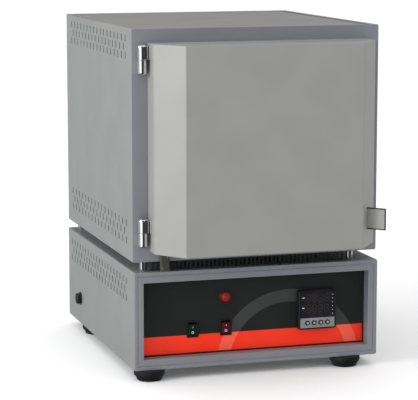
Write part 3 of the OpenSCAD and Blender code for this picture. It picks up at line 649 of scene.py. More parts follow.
def soften(points, radius, closed=False, steps=4):
    """The same line with each corner rounded, by less where its stretches are short."""
    rounded = []
    count = len(points)
    for i, point in enumerate(points):
        here = Vector(point)
        if not closed and i in (0, count - 1):
            rounded.append(here)
            continue
        back = Vector(points[i - 1]) - here
        ahead = Vector(points[(i + 1) % count]) - here
        half = back.angle(ahead) / 2
        cut = min(radius / math.tan(half), 0.49 * back.length, 0.49 * ahead.length)
        start, end = here + back.normalized() * cut, here + ahead.normalized() * cut
        for k in range(steps + 1):
            t = k / steps
            rounded.append(start * (1 - t) ** 2 + here * 2 * t * (1 - t) + end * t * t)
    return rounded


def soft_polygon(points, radius):
    """Closed polygon, anticlockwise, with rounded corners, as a function of how far it is shrunk."""
    def outline(inset):
        return soften(shifted(points, inset, True), max(radius - inset, 0.05 * MM), True, 3)
    return outline


# ---- Meshes ----


def finished_mesh(bm, name):
    """A smooth-shaded mesh with its faces turned outwards."""
    bmesh.ops.recalc_face_normals(bm, faces=bm.faces)
    mesh = bpy.data.meshes.new(name)
    bm.to_mesh(mesh)
    bm.free()
    mesh.shade_smooth()
    return mesh


def ring_of(bm, points):
    """New vertices at points."""
    return [bm.verts.new(point) for point in points]


def skin(bm, rings, round_ring=True, join_ends=False):
    """Faces between each ring and the next."""
    following = rings[1:] + (rings[:1] if join_ends else [])
    for first, second in zip(rings, following):
        for i in range(len(first) if round_ring else len(first) - 1):
            j = (i + 1) % len(first)
            bm.faces.new((first[i], first[j], second[j], second[i]))


def fill(bm, loops, normal):
    """Flat faces inside the first loop and outside the others."""
    edges = []
    for loop in loops:
        for i, vert in enumerate(loop):
            pair = (loop[i - 1], vert)
            edges.append(bm.edges.get(pair) or bm.edges.new(pair))
    bmesh.ops.triangle_fill(bm, use_beauty=True, use_dissolve=False, edges=edges, normal=normal)


def edge_profile(thickness, edge):
    """How far in and how deep each ring of a rounded sheet edge lies, front to back."""
    angles = [math.radians(90 * k / 3) for k in range(4)]
    front = [(edge * (1 - math.sin(a)), edge * (1 - math.cos(a))) for a in angles]
    return front + [(inset, thickness - depth) for inset, depth in reversed(front)]


def add_plate(bm, outline, holes, thickness, edge, place):
    """Closed flat plate with rounded outer and hole edges; place sets a point from (u, v, depth)."""
    profile = edge_profile(thickness, edge)
    fronts, backs = [], []
    for shape, side in [(outline, 1)] + [(hole, -1) for hole in holes]:
        rings = [ring_of(bm, [place(u, v, depth) for u, v in shape(side * inset)])
                 for inset, depth in profile]
        skin(bm, rings)
        fronts.append(rings[0])
        backs.append(rings[-1])
    normal = place(0, 0, 1) - place(0, 0, 0)
    for loops in (fronts, backs):
        if holes:
            fill(bm, loops, normal)
        else:
            bm.faces.new(loops[0])


def facing_front(y):
    """Plate drawn in x and z, its front at y, its depth backwards."""
    return lambda u, v, depth: Vector((u, y + depth, v))


def facing_back(y):
    """Plate drawn in x and z, its front at y, its depth forwards."""
    return lambda u, v, depth: Vector((u, y - depth, v))


def facing_up(z):
    """Plate drawn in x and y, its front at z, its depth down."""
    return lambda u, v, depth: Vector((u, v, z - depth))


def facing_left(x):
    """Plate drawn in y and z, its front at x, its depth to the right."""
    return lambda u, v, depth: Vector((x + depth, u, v))


def add_turned(bm, profile, middle, axis, steps=None, shape=None):
    """Turned solid: profile holds (radius, height) along axis from middle. shape(angle, index) may
    scale each radius."""
    steps = steps or sizes().round_steps
    along = Vector(axis).normalized()
    across = along.orthogonal().normalized()
    other = along.cross(across)
    rings = []
    for index, (radius, height) in enumerate(profile):
        centre = Vector(middle) + along * height
        ring = []
        for k in range(steps):
            a = 2 * math.pi * k / steps
            r = radius * (shape(a, index) if shape else 1.0)
            ring.append(bm.verts.new(centre + (across * math.cos(a) + other * math.sin(a)) * r))
        rings.append(ring)
    skin(bm, rings)
    for ring, keep in ((rings[0], profile[0][0]), (rings[-1], profile[-1][0])):
        if keep > 0.02 * MM:
            bm.faces.new(ring)
        else:
            bmesh.ops.pointmerge(bm, verts=ring, merge_co=sum((v.co for v in ring), Vector()) / steps)


def add_turned_round(bm, profile, middle, steps, shape=None):
    """Turned solid with a bore along y: profile holds (radius, rise) all the way round its section.
    shape(angle, index) may scale each radius."""
    x, y, z = middle
    angles = [2 * math.pi * k / steps for k in range(steps)]
    rings = []
    for index, (radius, rise) in enumerate(profile):
        reach = [radius * (shape(a, index) if shape else 1.0) for a in angles]
        rings.append(ring_of(bm, [(x + r * math.cos(a), y + rise, z + r * math.sin(a))
                                  for r, a in zip(reach, angles)]))
    skin(bm, rings, join_ends=True)


def add_tube(bm, points, radius, sides, closed=False):
    """Round wire along points, without twist."""
    count = len(points)
    rings = []
    side = None
    for i, point in enumerate(points):
        back = points[i - 1] if closed or i > 0 else point
        ahead = points[(i + 1) % count] if closed or i < count - 1 else point
        along = (ahead - back).normalized()
        side = side - along * side.dot(along) if side else along.orthogonal()
        side.normalize()
        other = along.cross(side)
        angles = [2 * math.pi * k / sides for k in range(sides)]
        rings.append(ring_of(bm, [point + (side * math.cos(a) + other * math.sin(a)) * radius
                                  for a in angles]))
    skin(bm, rings, join_ends=closed)
    if not closed:
        bm.faces.new(rings[0])
        bm.faces.new(rings[-1])


def cross_recess(arm, half_width):
    """Radius of a cross-shaped driver recess at each angle."""
    def reach(angle):
        a = abs((angle + math.pi / 4) % (math.pi / 2) - math.pi / 4)
        return min(arm / math.cos(a), half_width / max(math.sin(a), 1e-6))
    return reach


def add_screw(bm, middle, axis, radius):
    """Domed screw head with a cross recess; the head rises along axis from middle."""
    rise = 0.62 * radius
    recess = cross_recess(0.62 * radius, 0.15 * radius)
    dome = [(radius, 0.0), (radius, 0.3 * rise), (0.93 * radius, 0.62 * rise),
            (0.8 * radius, 0.84 * rise), (0.66 * radius, 0.95 * rise)]
    profile = dome + [(1.0, 0.97 * rise), (0.9, 0.4 * rise), (0.0001, 0.35 * rise)]
    count = len(dome)
    add_turned(bm, profile, middle, axis, steps=32,
               shape=lambda angle, index: recess(angle) if index >= count else 1.0)


def even_normals(piece):
    """Keeps flat faces flat beside their rounded edges."""
    modifier = piece.modifiers.new("Even normals", "WEIGHTED_NORMAL")
    modifier.weight = 60
    modifier.keep_sharp = True


def add_piece(name, bm, body, slot, stands_for=(), finish=None):
    """Puts a finished mesh in the scene on its body, with the finish of its slot, in place of its CAD
    nodes.
    """
    mesh = finished_mesh(bm, name)
    piece = bpy.data.objects.new(name, mesh)
    bpy.context.scene.collection.objects.link(piece)
    mesh.materials.append(finish_of(finish or slot))
    even_normals(piece)
    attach(piece, body)
    if stands_for:
        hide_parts(*stands_for)
    return piece


def body_of(node):
    """The body that a CAD node rides on."""
    return frame["nodes"][node]["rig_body"]


def finished_copy(node, slot, edge, segments=2):
    """A CAD node with its edges rounded, which stands for that node."""
    bm = bmesh.new()
    bm.from_mesh(frame["nodes"][node].data)
    bmesh.ops.remove_doubles(bm, verts=bm.verts, dist=0.002 * MM)
    bmesh.ops.dissolve_limit(bm, angle_limit=math.radians(0.4), use_dissolve_boundaries=False,
                             verts=bm.verts, edges=bm.edges)
    piece = add_piece(node + "_finished", bm, body_of(node), slot, [node])
    attributes = piece.data.attributes
    for attribute in [a for a in attributes if a.name == "custom_normal"]:
        attributes.remove(attribute)
    bevel = piece.modifiers.new("Rounded edges", "BEVEL")
    bevel.width = edge
    bevel.segments = segments
    bevel.limit_method = "ANGLE"
    bevel.angle_limit = math.radians(38)
    bevel.use_clamp_overlap = False
    piece.modifiers.move(1, 0)


def middle_of(node):
    """The middle of a CAD node's box."""
    low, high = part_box(node)
    return (low + high) / 2


# ---- Furnace casing ----


def stepped(first, last, count):
    """Evenly spaced values, both ends included."""
    return [first + (last - first) * i / (count - 1) for i in range(count)]


def vent_block(first, last, columns, low_z):
    """Slots in staggered rows: every other row sits half a pitch along and has one slot less."""
    rows, row_pitch = 3, 15.5 * MM
    pitch = (last - first) / (columns - 1)
    return [slot_hole((first + pitch * (i + row % 2 / 2), low_z + row_pitch * row), *VENT_SLOT)
            for row in range(rows) for i in range(columns - row % 2)]


def add_folded_side(bm, low, high, fold, holes, side):
    """Side sheet folded inwards along its top and bottom, with holes in y and z; side is -1 on the
    left and 1 on the right."""
    rim = 0.35 * MM
    outer, inner = (low.x, low.x + fold) if side < 0 else (high.x, high.x - fold)
    inwards = -side
    section = [(inner, low.z), (outer, low.z), (outer, high.z), (inner, high.z),
               (inner, high.z - SHEET), (outer + inwards * SHEET, high.z - SHEET),
               (outer + inwards * SHEET, low.z + SHEET), (inner, low.z + SHEET)]
    bends = {1: sizes().bend, 2: sizes().bend, 5: 0.7 * MM, 6: 0.7 * MM}
    points = []
    for i, corner in enumerate(section):
        trio = [section[i - 1], corner, section[(i + 1) % len(section)]]
        points += soften(trio, bends[i])[1:-1] if i in bends else [Vector(corner)]
    ends = [[Vector((x, y, z)) for x, z in points] for y in (low.y, high.y)]
    front, back = (ring_of(bm, ring) for ring in ends)
    lengths = [(front[i].co - front[(i + 1) % len(front)].co).length for i in range(len(front))]
    walls = sorted(range(len(front)), key=lambda i: -lengths[i])[:2]
    walls.sort(key=lambda i: -abs(front[i].co.x))
    for i in range(len(front)):
        if i not in walls:
            j = (i + 1) % len(front)
            bm.faces.new((front[i], front[j], back[j], back[i]))
    bm.faces.new(front)
    bm.faces.new(back)
    near = front[walls[0]].co.x
    depths = [(-rim, 0.0), (-rim * 0.3, rim * 0.3), (0.0, rim), (0.0, SHEET)]
    rims = [[ring_of(bm, [(near + inwards * depth, y, z) for y, z in hole(inset)])
             for inset, depth in depths] for hole in holes]
    for rings in rims:
        skin(bm, rings)
    for wall, index in zip(walls, (0, -1)):
        j = (wall + 1) % len(front)
        loop = [front[wall], front[j], back[j], back[wall]]
        fill(bm, [loop] + [rings[index] for rings in rims], (side, 0, 0))


def furnace_side(node, side):
    """Side sheet of the furnace box, with a block of vents low down and one at the top."""
    low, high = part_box(node)
    first, last = FURNACE_LOW.y + 43 * MM, FURNACE_LOW.y + 457 * MM
    columns = 17
    holes = (vent_block(first, last, columns, low.z + 34 * MM)
             + vent_block(first, last, columns, high.z - 49 * MM))
    bm = bmesh.new()
    add_folded_side(bm, low, high, 11 * MM, holes, side)
    add_piece(node + "_sheet", bm, "cabinet", "side_paint", [node])


def furnace_front():
    """Front frame: one plate round the mouth, its outer corners a little rounded."""
    low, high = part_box("furnace_front_frame")
    outline = rounded_box((low.x, low.z), (high.x, high.z), 3 * MM, steps=6)
    lap = 7 * MM
    mouth = rounded_box((MOUTH_LOW.x - lap, MOUTH_LOW.z - lap),
                        (MOUTH_HIGH.x + lap, MOUTH_HIGH.z + lap), 2 * MM, steps=6)
    hinge = joint_place("door_hinge")
    holes = [mouth] + [round_hole((hinge.x, z - drop), FRAME_SCREW_R, 16)
                       for z in HINGE_SPLITS for drop in (8 * MM, 18 * MM)]
    bm = bmesh.new()
    add_plate(bm, outline, holes, 2 * MM, 0.7 * MM, facing_front(low.y))
    for side in (-1, 1):
        x = side * (high.x - 2.35 * MM)
        fold = rounded_box((x - SHEET / 2, low.y + 2 * MM), (x + SHEET / 2, low.y + 14 * MM),
                           0.5 * MM, 3)
        height = high.z - low.z - 7.2 * MM
        add_plate(bm, fold, [], height, 0.3 * MM, facing_up(high.z - 3.6 * MM))
    add_piece("furnace_front_plate", bm, "cabinet", "frame_paint", ["furnace_front_frame"])


def furnace_lid():
    """Pressed top: a low band, a soft step and a raised field with big round corners."""
    low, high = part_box("furnace_top")
    press = 1.4 * MM
    middle_y = (FURNACE_LOW.y + FURNACE_HIGH.y) / 2
    half = Vector(((FURNACE_HIGH.x - FURNACE_LOW.x) / 2 - 22 * MM,
                   (FURNACE_HIGH.y - FURNACE_LOW.y) / 2 - 20 * MM))
    centre = Vector((0.0, middle_y))
    edge = rounded_box(low.xy, high.xy, 1.5 * MM, steps=12)
    field = rounded_box(centre - half, centre + half, 38 * MM, steps=12)
    band_z = high.z - press
    bm = bmesh.new()
    path = [(edge, 0.0, band_z - SHEET), (edge, 0.0, band_z - 0.4 * MM), (edge, 0.4 * MM, band_z)]
    path += [(field, inset * MM, band_z - dip * MM) for inset, dip in
             ((-5.4, 0.0), (-4.8, 0.3), (-4.2, 1.0), (-3.0, 1.0), (-2.4, 0.3))]
    path += [(field, inset * MM, band_z + rise * press) for inset, rise in
             ((-1.6, 0.0), (-0.9, 0.05), (-0.3, 0.3), (0.3, 0.7), (0.9, 0.95), (1.6, 1.0))]
    tops = [ring_of(bm, [(x, y, z) for x, y in shape(inset)]) for shape, inset, z in path]
    under = [ring_of(bm, [(x, y, z) for x, y in shape(inset)]) for shape, inset, z in
             [(field, 2.6 * MM, band_z + press - SHEET), (field, 0.6 * MM, band_z - SHEET)]]
    skin(bm, tops)
    bm.faces.new(tops[-1])
    skin(bm, under)
    bm.faces.new(under[0])
    skin(bm, [under[1], tops[0]])
    add_piece("furnace_lid", bm, "cabinet", "top_paint", ["furnace_top"])


def rear_plate(node, name, holes):
    """Flat rear panel with its holes."""
    low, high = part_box(node)
    outline = rounded_box((low.x, low.z), (high.x, high.z), 2.5 * MM, steps=5)
    bm = bmesh.new()
    add_plate(bm, outline, holes, high.y - low.y, 0.5 * MM, facing_back(high.y))
    add_piece(name, bm, "cabinet", "side_paint", [node])


def furnace_back():
    """Rear panel of the furnace box: two blocks of vents and the hole for the flue."""
    flue = front_middle(*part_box("flue_tube"))
    slots = [slot_hole((-147.5 * MM + 19 * MM * i, FURNACE_LOW.z + (30.5 + 20 * row + lift) * MM),
                       *VENT_SLOT) for i in range(16) for row in range(3) for lift in (0, 300)]
    rear_plate("furnace_rear", "furnace_back_plate", slots + [round_hole(flue, 14.2 * MM)])


def base_back():
    """Rear panel of the control base: one block of vents and the hole for the gland."""
    gland = middle_of("cable_gland")
    slots = [slot_hole((42.5 * MM + 16 * MM * i, (130 + 26 * row) * MM), 5 * MM, 20 * MM)
             for i in range(10) for row in range(2)]
    cable_hole = round_hole((-150 * MM, gland.z), GLAND_HOLE_R)
    rear_plate("base_rear_panel", "base_back_plate", slots + [cable_hole])


def panel_screws(name, places, axis, body="cabinet", radius=3.6 * MM):
    """Screws at places, as one piece."""
    bm = bmesh.new()
    for place in places:
        add_screw(bm, place, axis, radius)
    add_piece(name, bm, body, "zinc_steel")


def rear_screws():
    """Screws round both rear panels."""
    inset = 8 * MM
    places = []
    for low, high in (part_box("furnace_rear"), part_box("base_rear_panel")):
        columns = stepped(low.x + 3 * inset, high.x - 3 * inset, 4)
        places += [(x, high.y, z) for x in columns for z in (low.z + inset, high.z - inset)]
        middle = (low.z + high.z) / 2
        places += [(x, high.y, middle) for x in (low.x + inset, high.x - inset)]
    panel_screws("rear_panel_screws", places, (0, 1, 0))


# ---- Control base casing ----


def base_side(node, side):
    """Side sheet of the control base, with one block of vents; the left one takes the fuse holder."""
    low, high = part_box(node)
    first, last = BASE_LOW.y + 56 * MM, BASE_LOW.y + 480 * MM
    holes = vent_block(first, last, 20, high.z - 54.5 * MM)
    if side < 0:
        fuse = middle_of("fuse_holder")
        holes.append(round_hole((fuse.y, fuse.z), 8 * MM))
    bm = bmesh.new()
    add_folded_side(bm, low, high, 9 * MM, holes, side)
    add_piece(node + "_sheet", bm, "cabinet", "side_paint", [node])


def base_front():
    """Front frame of the base: a face with a shallow groove, and walls back to the fascia."""
    low, high = BASE_LOW, BASE_HIGH
    outer = rounded_box((low.x, low.z), (high.x, high.z), 4 * MM, steps=6)
    middle = Vector(front_middle(low, high))
    opening = rounded_box(middle - FASCIA_HALF, middle + FASCIA_HALF, 1.2 * MM, steps=6)
    groove_in, groove_out, groove_deep = 6 * MM, 8.5 * MM, 1.2 * MM
    soft, plate = 1.3 * MM, 3 * MM
    tiny = 0.25 * MM
    bow = [math.radians(a) for a in (0, 30, 60, 90)]
    stations = [(outer, 0.0, plate)]
    stations += [(outer, soft * (1 - math.cos(a)), soft * (1 - math.sin(a))) for a in bow]
    stations += [(outer, groove_in - tiny, 0.0), (outer, groove_in, tiny),
                 (outer, groove_in + tiny, groove_deep), (outer, groove_out - tiny, groove_deep),
                 (outer, groove_out, tiny), (outer, groove_out + tiny, 0.0)]
    stations += [(opening, -soft * (1 - math.sin(a)), soft * (1 - math.cos(a))) for a in bow]
    stations += [(opening, 0.0, high.y - low.y), (opening, -SHEET, high.y - low.y),
                 (opening, -SHEET, plate)]
    bm = bmesh.new()
    rings = [ring_of(bm, [(x, low.y + depth, z) for x, z in shape(inset)])
             for shape, inset, depth in stations]
    skin(bm, rings, join_ends=True)
    add_piece("base_front_plate", bm, "cabinet", "frame_paint", ["base_front_frame"])


# ---- Door ----


def door_line(inset, back):
    """Plan of the door cover from its left back edge round the front to its right back edge."""
    facet, flange = 41.5 * MM, 41 * MM
    flange_y = FURNACE_LOW.y - flange
    raw = [(DOOR_LOW.x, back), (DOOR_LOW.x, flange_y), (DOOR_LOW.x + facet, DOOR_LOW.y),
           (DOOR_HIGH.x - facet, DOOR_LOW.y), (DOOR_HIGH.x, flange_y), (DOOR_HIGH.x, back)]
    line = shifted(raw, inset, False)
    line[0].y = line[-1].y = back
    return soften(line, 5 * MM - inset, steps=5)


def door_cover():
    """Folded cover with slanted sides; its top and bottom have two rows of slots."""
    back, bend = DOOR_HIGH.y, 2.0 * MM
    angles = [math.radians(90 * k / 5) for k in range(6)]
    turn = [(bend * (1 - math.cos(a)), bend * (1 - math.sin(a))) for a in angles]
    levels = [(inset, DOOR_LOW.z + rise) for inset, rise in reversed(turn)]
    levels += [(inset, DOOR_HIGH.z - rise) for inset, rise in turn]
    bm = bmesh.new()
    rings = [ring_of(bm, [(x, y, z) for x, y in door_line(inset, back)]) for inset, z in levels]
    skin(bm, rings, round_ring=False)
    columns = stepped(-130 * MM, 136 * MM, 20)
    slots = [slot_hole((x, y), 8 * MM, 3.4 * MM) for x in columns
             for y in (FURNACE_LOW.y - 60 * MM, FURNACE_LOW.y - 38 * MM)]
    for ring in (rings[0], rings[-1]):
        z = ring[0].co.z
        loops = [ring_of(bm, [(x, y, z) for x, y in slot(0)]) for slot in slots]
        fill(bm, [ring] + loops, (0, 0, 1))
    shell = add_piece("door_shell", bm, "door", "door_paint", ["door_cover"])
    thick = shell.modifiers.new("Sheet", "SOLIDIFY")
    thick.thickness = SHEET
    thick.offset = -1.0
    thick.use_even_offset = True
    shell.modifiers.move(1, 0)


def door_tab():
    """Pull tab on the right slanted side, with a dark edging on its three free sides."""
    low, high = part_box("door_handle")
    forward = math.radians(46)
    along = Vector((math.cos(forward), -math.sin(forward), 0))
    face = Vector((-along.y, along.x, 0))
    root = Vector((181 * MM, FURNACE_LOW.y - 73.4 * MM, low.z))
    length, height, thick = 38 * MM, high.z - low.z, 2.5 * MM
    edging, start = 2.2 * MM, 1.2 * MM

    def on_tab(lift):
        return lambda u, v, depth: root + along * u + Vector((0, 0, v)) + face * (lift - depth)

    bm = bmesh.new()
    panel = rounded_box((start, 0.6 * MM), (length - 0.6 * MM, height - 0.6 * MM), 2.4 * MM)
    add_plate(bm, panel, [], thick - 0.4 * MM, 0.4 * MM, on_tab(thick / 2 - 0.2 * MM))
    add_piece("pull_tab", bm, "door", "door_paint", ["door_handle"])
    strip = [(start, 0), (length, 0), (length, height), (start, height), (start, height - edging),
             (length - edging, height - edging), (length - edging, edging), (start, edging)]
    bm = bmesh.new()
    add_plate(bm, soft_polygon(strip, 1.0 * MM), [], thick, 0.35 * MM, on_tab(thick / 2))
    add_piece("pull_tab_edging", bm, "door", "black_plastic")


def door_lining():
    """Inner plate, plug and blanket of the door, and the screws that hold the plate."""
    finished_copy("door_inner_plate", "zinc_steel", 0.3 * MM)
    finished_copy("door_plug", "ceramic_fibre", 2.5 * MM, segments=4)
    finished_copy("door_insulation", "ceramic_fibre", 3.0 * MM, segments=3)
    low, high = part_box("door_inner_plate")
    inset = 12 * MM
    places = [(x, high.y, z) for x in stepped(low.x + inset, high.x - inset, 4)
              for z in (low.z + inset, high.z - inset)]
    places += [(x, high.y, (low.z + high.z) / 2) for x in (low.x + inset, high.x - inset)]
    panel_screws("door_plate_screws", places, (0, 1, 0), body="door", radius=3.4 * MM)


def door_rope():
    """Plaited square rope laid round the plug, with rounded corners."""
    low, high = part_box("door_seal")
    band = 9 * MM
    half = Vector((high.x - low.x - band, high.z - low.z - band)) / 2
    middle = Vector(front_middle(low, high))
    path = rounded_box(middle - half, middle + half, 9 * MM, steps=10)(0)
    points = []
    step = 1.5 * MM
    for i, corner in enumerate(path):
        start, end = Vector(path[i - 1]), Vector(corner)
        count = max(1, round((end - start).length / step))
        points += [start.lerp(end, k / count) for k in range(count)]
    depth = (high.y - low.y) / 2
    sides, plait, strands = 20, 7.5 * MM, 4
    bm = bmesh.new()
    rings, travelled = [], 0.0
    for i, point in enumerate(points):
        ahead, back = points[(i + 1) % len(points)], points[i - 1]
        along = (ahead - back).normalized()
        out = Vector((along.y, -along.x))
        travelled += (point - back).length
        ring = []
        for k in range(sides):
            a = 2 * math.pi * k / sides
            phase = 2 * math.pi * travelled / plait
            bulge = 1 + 0.05 * math.cos(strands * a + phase) * math.cos(strands * a - phase)
            square = 0.93 / max(abs(math.cos(a)), abs(math.sin(a)), 0.80)
            across = 0.5 * band * 0.95 * square * bulge * math.cos(a)
            rise = depth * 0.95 * square * bulge * math.sin(a)
            flat = point + out * across
            ring.append(bm.verts.new((flat.x, (low.y + high.y) / 2 + rise, flat.y)))
        rings.append(ring)
    skin(bm, rings, join_ends=True)
    add_piece("door_rope_seal", bm, "door", "seal_rope", ["door_seal"])


# ---- Hinges ----


def barrel_profile(height):
    """Capsule end of one hinge half, from its flat split upwards."""
    soft = 4.5 * MM
    end = [(HINGE_R - soft + soft * math.cos(a), height - soft + soft * math.sin(a))
           for a in (math.radians(15 * k) for k in range(7))]
    return [(HINGE_R - 0.5 * MM, 0.0), (HINGE_R, 0.5 * MM)] + end


def hinges():
    """Polished lift-off hinges: the lower halves on the frame, the upper halves on the door."""
    axis = joint_place("door_hinge")
    lift, leaf = 0.3 * MM, 3 * MM
    lower, upper = bmesh.new(), bmesh.new()
    for z in HINGE_SPLITS:
        add_turned(lower, barrel_profile(HINGE_HALF), (axis.x, axis.y, z), (0, 0, -1))
        foot = rounded_box((axis.x - 6.5 * MM, z - HINGE_HALF + 2 * MM),
                           (axis.x + 6.5 * MM, z - 1 * MM), MM)
        add_plate(lower, foot, [], FURNACE_LOW.y - axis.y, 0.5 * MM, facing_front(axis.y))
        add_turned(upper, barrel_profile(HINGE_HALF), (axis.x, axis.y, z + lift), (0, 0, 1))
        arm = rounded_box((axis.x, z + 1 * MM),
                          (DOOR_LOW.x - 0.02 * MM, z + HINGE_HALF - 2 * MM), MM)
        add_plate(upper, arm, [], 4 * MM, 0.5 * MM, facing_front(axis.y - HINGE_R))
        wing = rounded_box((axis.y - 14 * MM, z + lift),
                           (axis.y - 2 * MM, z + HINGE_HALF - 2 * MM), 2 * MM)
        add_plate(upper, wing, [], leaf - 0.02 * MM, 0.5 * MM, facing_left(DOOR_LOW.x - leaf))
    add_piece("hinge_lower_halves", lower, "cabinet", "chrome", ["hinge_frame_halves"])
    add_piece("hinge_upper_halves", upper, "door", "chrome", ["hinge_door_halves"])
    finished_copy("hinge_pins", "zinc_steel", 0.4 * MM)


# ---- Firing chamber ----


def wound_wire(node):
    """Heating wire wound into a coil that runs to and fro in the wall's grooves."""
    low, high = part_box(node)
    side_x = (low.x + high.x) / 2
    coil_r = (high.x - low.x) / 2
    runs = 6
    levels = stepped(low.z + coil_r, high.z - coil_r, runs)
    bend_r = (levels[1] - levels[0]) / 2
    near, far = low.y + coil_r + bend_r, CHAMBER_BACK - 14 * MM + coil_r - bend_r
    line = [Vector((side_x, high.y, levels[0]))]
    for i, z in enumerate(levels):
        heading_front = i % 2 == 0
        end = near if heading_front else far
        if i == runs - 1:
            line.append(Vector((side_x, high.y, z)))
            break
        sweep = -1 if heading_front else 1
        line += [Vector((side_x, end + sweep * bend_r * math.sin(a), z + bend_r * (1 - math.cos(a))))
                 for a in (math.pi * k / 12 for k in range(13))]
    wire, turn, per_turn = sizes().wire, sizes().turn, 8
    step = turn / per_turn
    points, travelled = [], 0.0
    for start, end in zip(line, line[1:]):
        along = (end - start).normalized()
        across = Vector((1, 0, 0))
        other = along.cross(across)
        count = max(1, round((end - start).length / step))
        for k in range(count):
            angle = 2 * math.pi * (travelled + (end - start).length * k / count) / turn
            offset = (across * math.cos(angle) + other * math.sin(angle)) * (coil_r - wire)
            points.append(start.lerp(end, k / count) + offset)
        travelled += (end - start).length
    bm = bmesh.new()
    add_tube(bm, points, wire, 5)
    name = node.replace("heating_coil", "heating_winding")
    add_piece(name, bm, "cabinet", "coil_wire", [node])


def thermocouple():
    """Ceramic sheath with a closed round tip, and its metal head with a lid and two screws."""
    low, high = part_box("thermocouple")
    x, z = front_middle(low, high)
    head_y, head_r, sheath_r = high.y - 30 * MM, (high.x - low.x) / 2, 4 * MM
    tip = [(sheath_r * math.sin(a), sheath_r * (1 - math.cos(a)))
           for a in (math.radians(18 * k) for k in range(6))]
    bm = bmesh.new()
    add_turned(bm, tip + [(sheath_r, head_y - low.y)], (x, low.y, z), (0, 1, 0), steps=32)
    add_piece("thermocouple_sheath", bm, "cabinet", "white_ceramic", ["thermocouple"])
    lid = [(head_r - 6 * MM, 0), (head_r - 2 * MM, 1 * MM), (head_r - 1 * MM, 3 * MM),
           (head_r - 1 * MM, 19 * MM), (head_r, 20 * MM), (head_r, 26 * MM), (head_r - 1 * MM, 27 * MM),
           (head_r - 4 * MM, 28 * MM), (0, 28.5 * MM)]
    bm = bmesh.new()
    add_turned(bm, lid, (x, head_y, z), (0, 1, 0), steps=48)
    for side in (-1, 1):
        add_screw(bm, (x + side * 11 * MM, head_y + 27.6 * MM, z), (0, 1, 0), 2.4 * MM)
    add_piece("thermocouple_head", bm, "cabinet", "bare_aluminium")


def flue():
    """Ceramic tube with a slightly flared, rounded mouth."""
    low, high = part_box("flue_tube")
    r, bore, lip = (high.x - low.x) / 2, 9 * MM, 1.6 * MM
    length = high.y - low.y
    profile = [(bore + 0.5 * MM, 0), (r - 0.5 * MM, 0), (r, 0.5 * MM), (r, length - lip),
               (r - 0.35 * lip, length - 0.35 * lip), (r - lip, length), (bore + lip, length),
               (bore + 0.35 * lip, length - 0.35 * lip), (bore, length - lip), (bore, 0.5 * MM)]
    x, z = front_middle(low, high)
    bm = bmesh.new()
    add_turned_round(bm, profile, (x, low.y, z), sizes().round_steps)
    add_piece("flue_sleeve", bm, "cabinet", "white_ceramic", ["flue_tube"])


# ---- Fascia and controls ----


def fascia_plate():
    """Fascia with openings for the controller, the rockers and the lamp."""
    low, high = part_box("control_fascia")
    outline = rounded_box((low.x, low.z), (high.x, high.z), 1 * MM, steps=3)
    case = middle_of("controller_case")
    case_low, case_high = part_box("controller_case")
    half = (case_high.x - case_low.x) / 2 - 2 * MM
    holes = [rounded_box((case.x - half, case.z - half), (case.x + half, case.z + half), 1 * MM, 3)]
    for node in ("green_switch_housing", "red_switch_housing"):
        box_low, box_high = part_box(node)
        cut = Vector((1.5 * MM, 1.5 * MM))
        holes.append(rounded_box(Vector((box_low.x, box_low.z)) + cut,
                                 Vector((box_high.x, box_high.z)) - cut, 1 * MM, 3))
    lamp = middle_of("lamp_bezel")
    holes.append(round_hole((lamp.x, lamp.z), 8 * MM))
    bm = bmesh.new()
    add_plate(bm, outline, holes, high.y - low.y, 0.3 * MM, facing_front(low.y))
    add_piece("fascia_plate", bm, "cabinet", "fascia_film", ["control_fascia"])


def fascia_bead():
    """Thin black rubber bead in the corner between the fascia and the wall of its recess, put there as
    painted shade: the dark line of shade round the fascia.
    """
    middle = Vector(front_middle(BASE_LOW, BASE_HIGH))
    opening = rounded_box(middle - FASCIA_HALF, middle + FASCIA_HALF, 1.2 * MM, steps=6)
    bm = bmesh.new()
    rings = [ring_of(bm, [(x, FASCIA_Y - rise, z) for x, z in opening(inset)])
             for inset, rise in SHADE_BEAD_SECTION]
    skin(bm, rings, join_ends=True)
    # Painted shade: the black bead darkens the corner where the recess shades the fascia.
    add_piece("fascia_bead", bm, "cabinet", "rubber")


def add_segment(bm, start, end, half, y, thick):
    """One bar of a figure, with pointed ends, from start to end in x and z."""
    along = (end - start).normalized()
    across = Vector((-along.y, along.x)) * half
    shape = [start, start + along * half + across, end - along * half + across, end,
             end - along * half - across, start + along * half - across]
    rings = [ring_of(bm, [(p.x, y + depth, p.y) for p in shape]) for depth in (0.0, thick)]
    skin(bm, rings)
    for ring in rings:
        bm.faces.new(ring)


def controller_figures():
    """Two rows of unlit seven-bar figures and a column of small marks on the window."""
    low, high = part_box("controller_window")
    y, thick = low.y - 0.06 * MM, 0.05 * MM
    bm = bmesh.new()
    for top, tall in ((high.z - 5 * MM, 13 * MM), (high.z - 24 * MM, 13 * MM)):
        for i in range(4):
            left = low.x + 12 * MM + 11.5 * MM * i
            wide, half, gap = 7 * MM, 0.75 * MM, 0.35 * MM
            levels = [top, top - tall / 2, top - tall]
            for z in levels:
                add_segment(bm, Vector((left + gap, z)), Vector((left + wide - gap, z)), half, y, thick)
            for upper, lower in zip(levels, levels[1:]):
                for x in (left, left + wide):
                    add_segment(bm, Vector((x, upper - gap)), Vector((x, lower + gap)), half, y, thick)
    add_piece("controller_figures", bm, "cabinet", "smoked_window", finish="digit_grey")
    bm = bmesh.new()
    for z in stepped(high.z - 6 * MM, low.z + 6 * MM, 6):
        add_turned(bm, [(0.65 * MM, 0), (0.65 * MM, 0.05 * MM)], (high.x - 4 * MM, y + thick, z),
                   (0, -1, 0), steps=16)
    for z in (high.z - 10 * MM, high.z - 29 * MM):
        bar = rounded_box((low.x + 3 * MM, z - 0.7 * MM), (low.x + 7.5 * MM, z + 0.7 * MM), 0.3 * MM, 2)
        add_plate(bm, bar, [], thick, 0.01 * MM, facing_front(y))
    add_piece("controller_marks", bm, "cabinet", "keypad_film", finish="white_print")


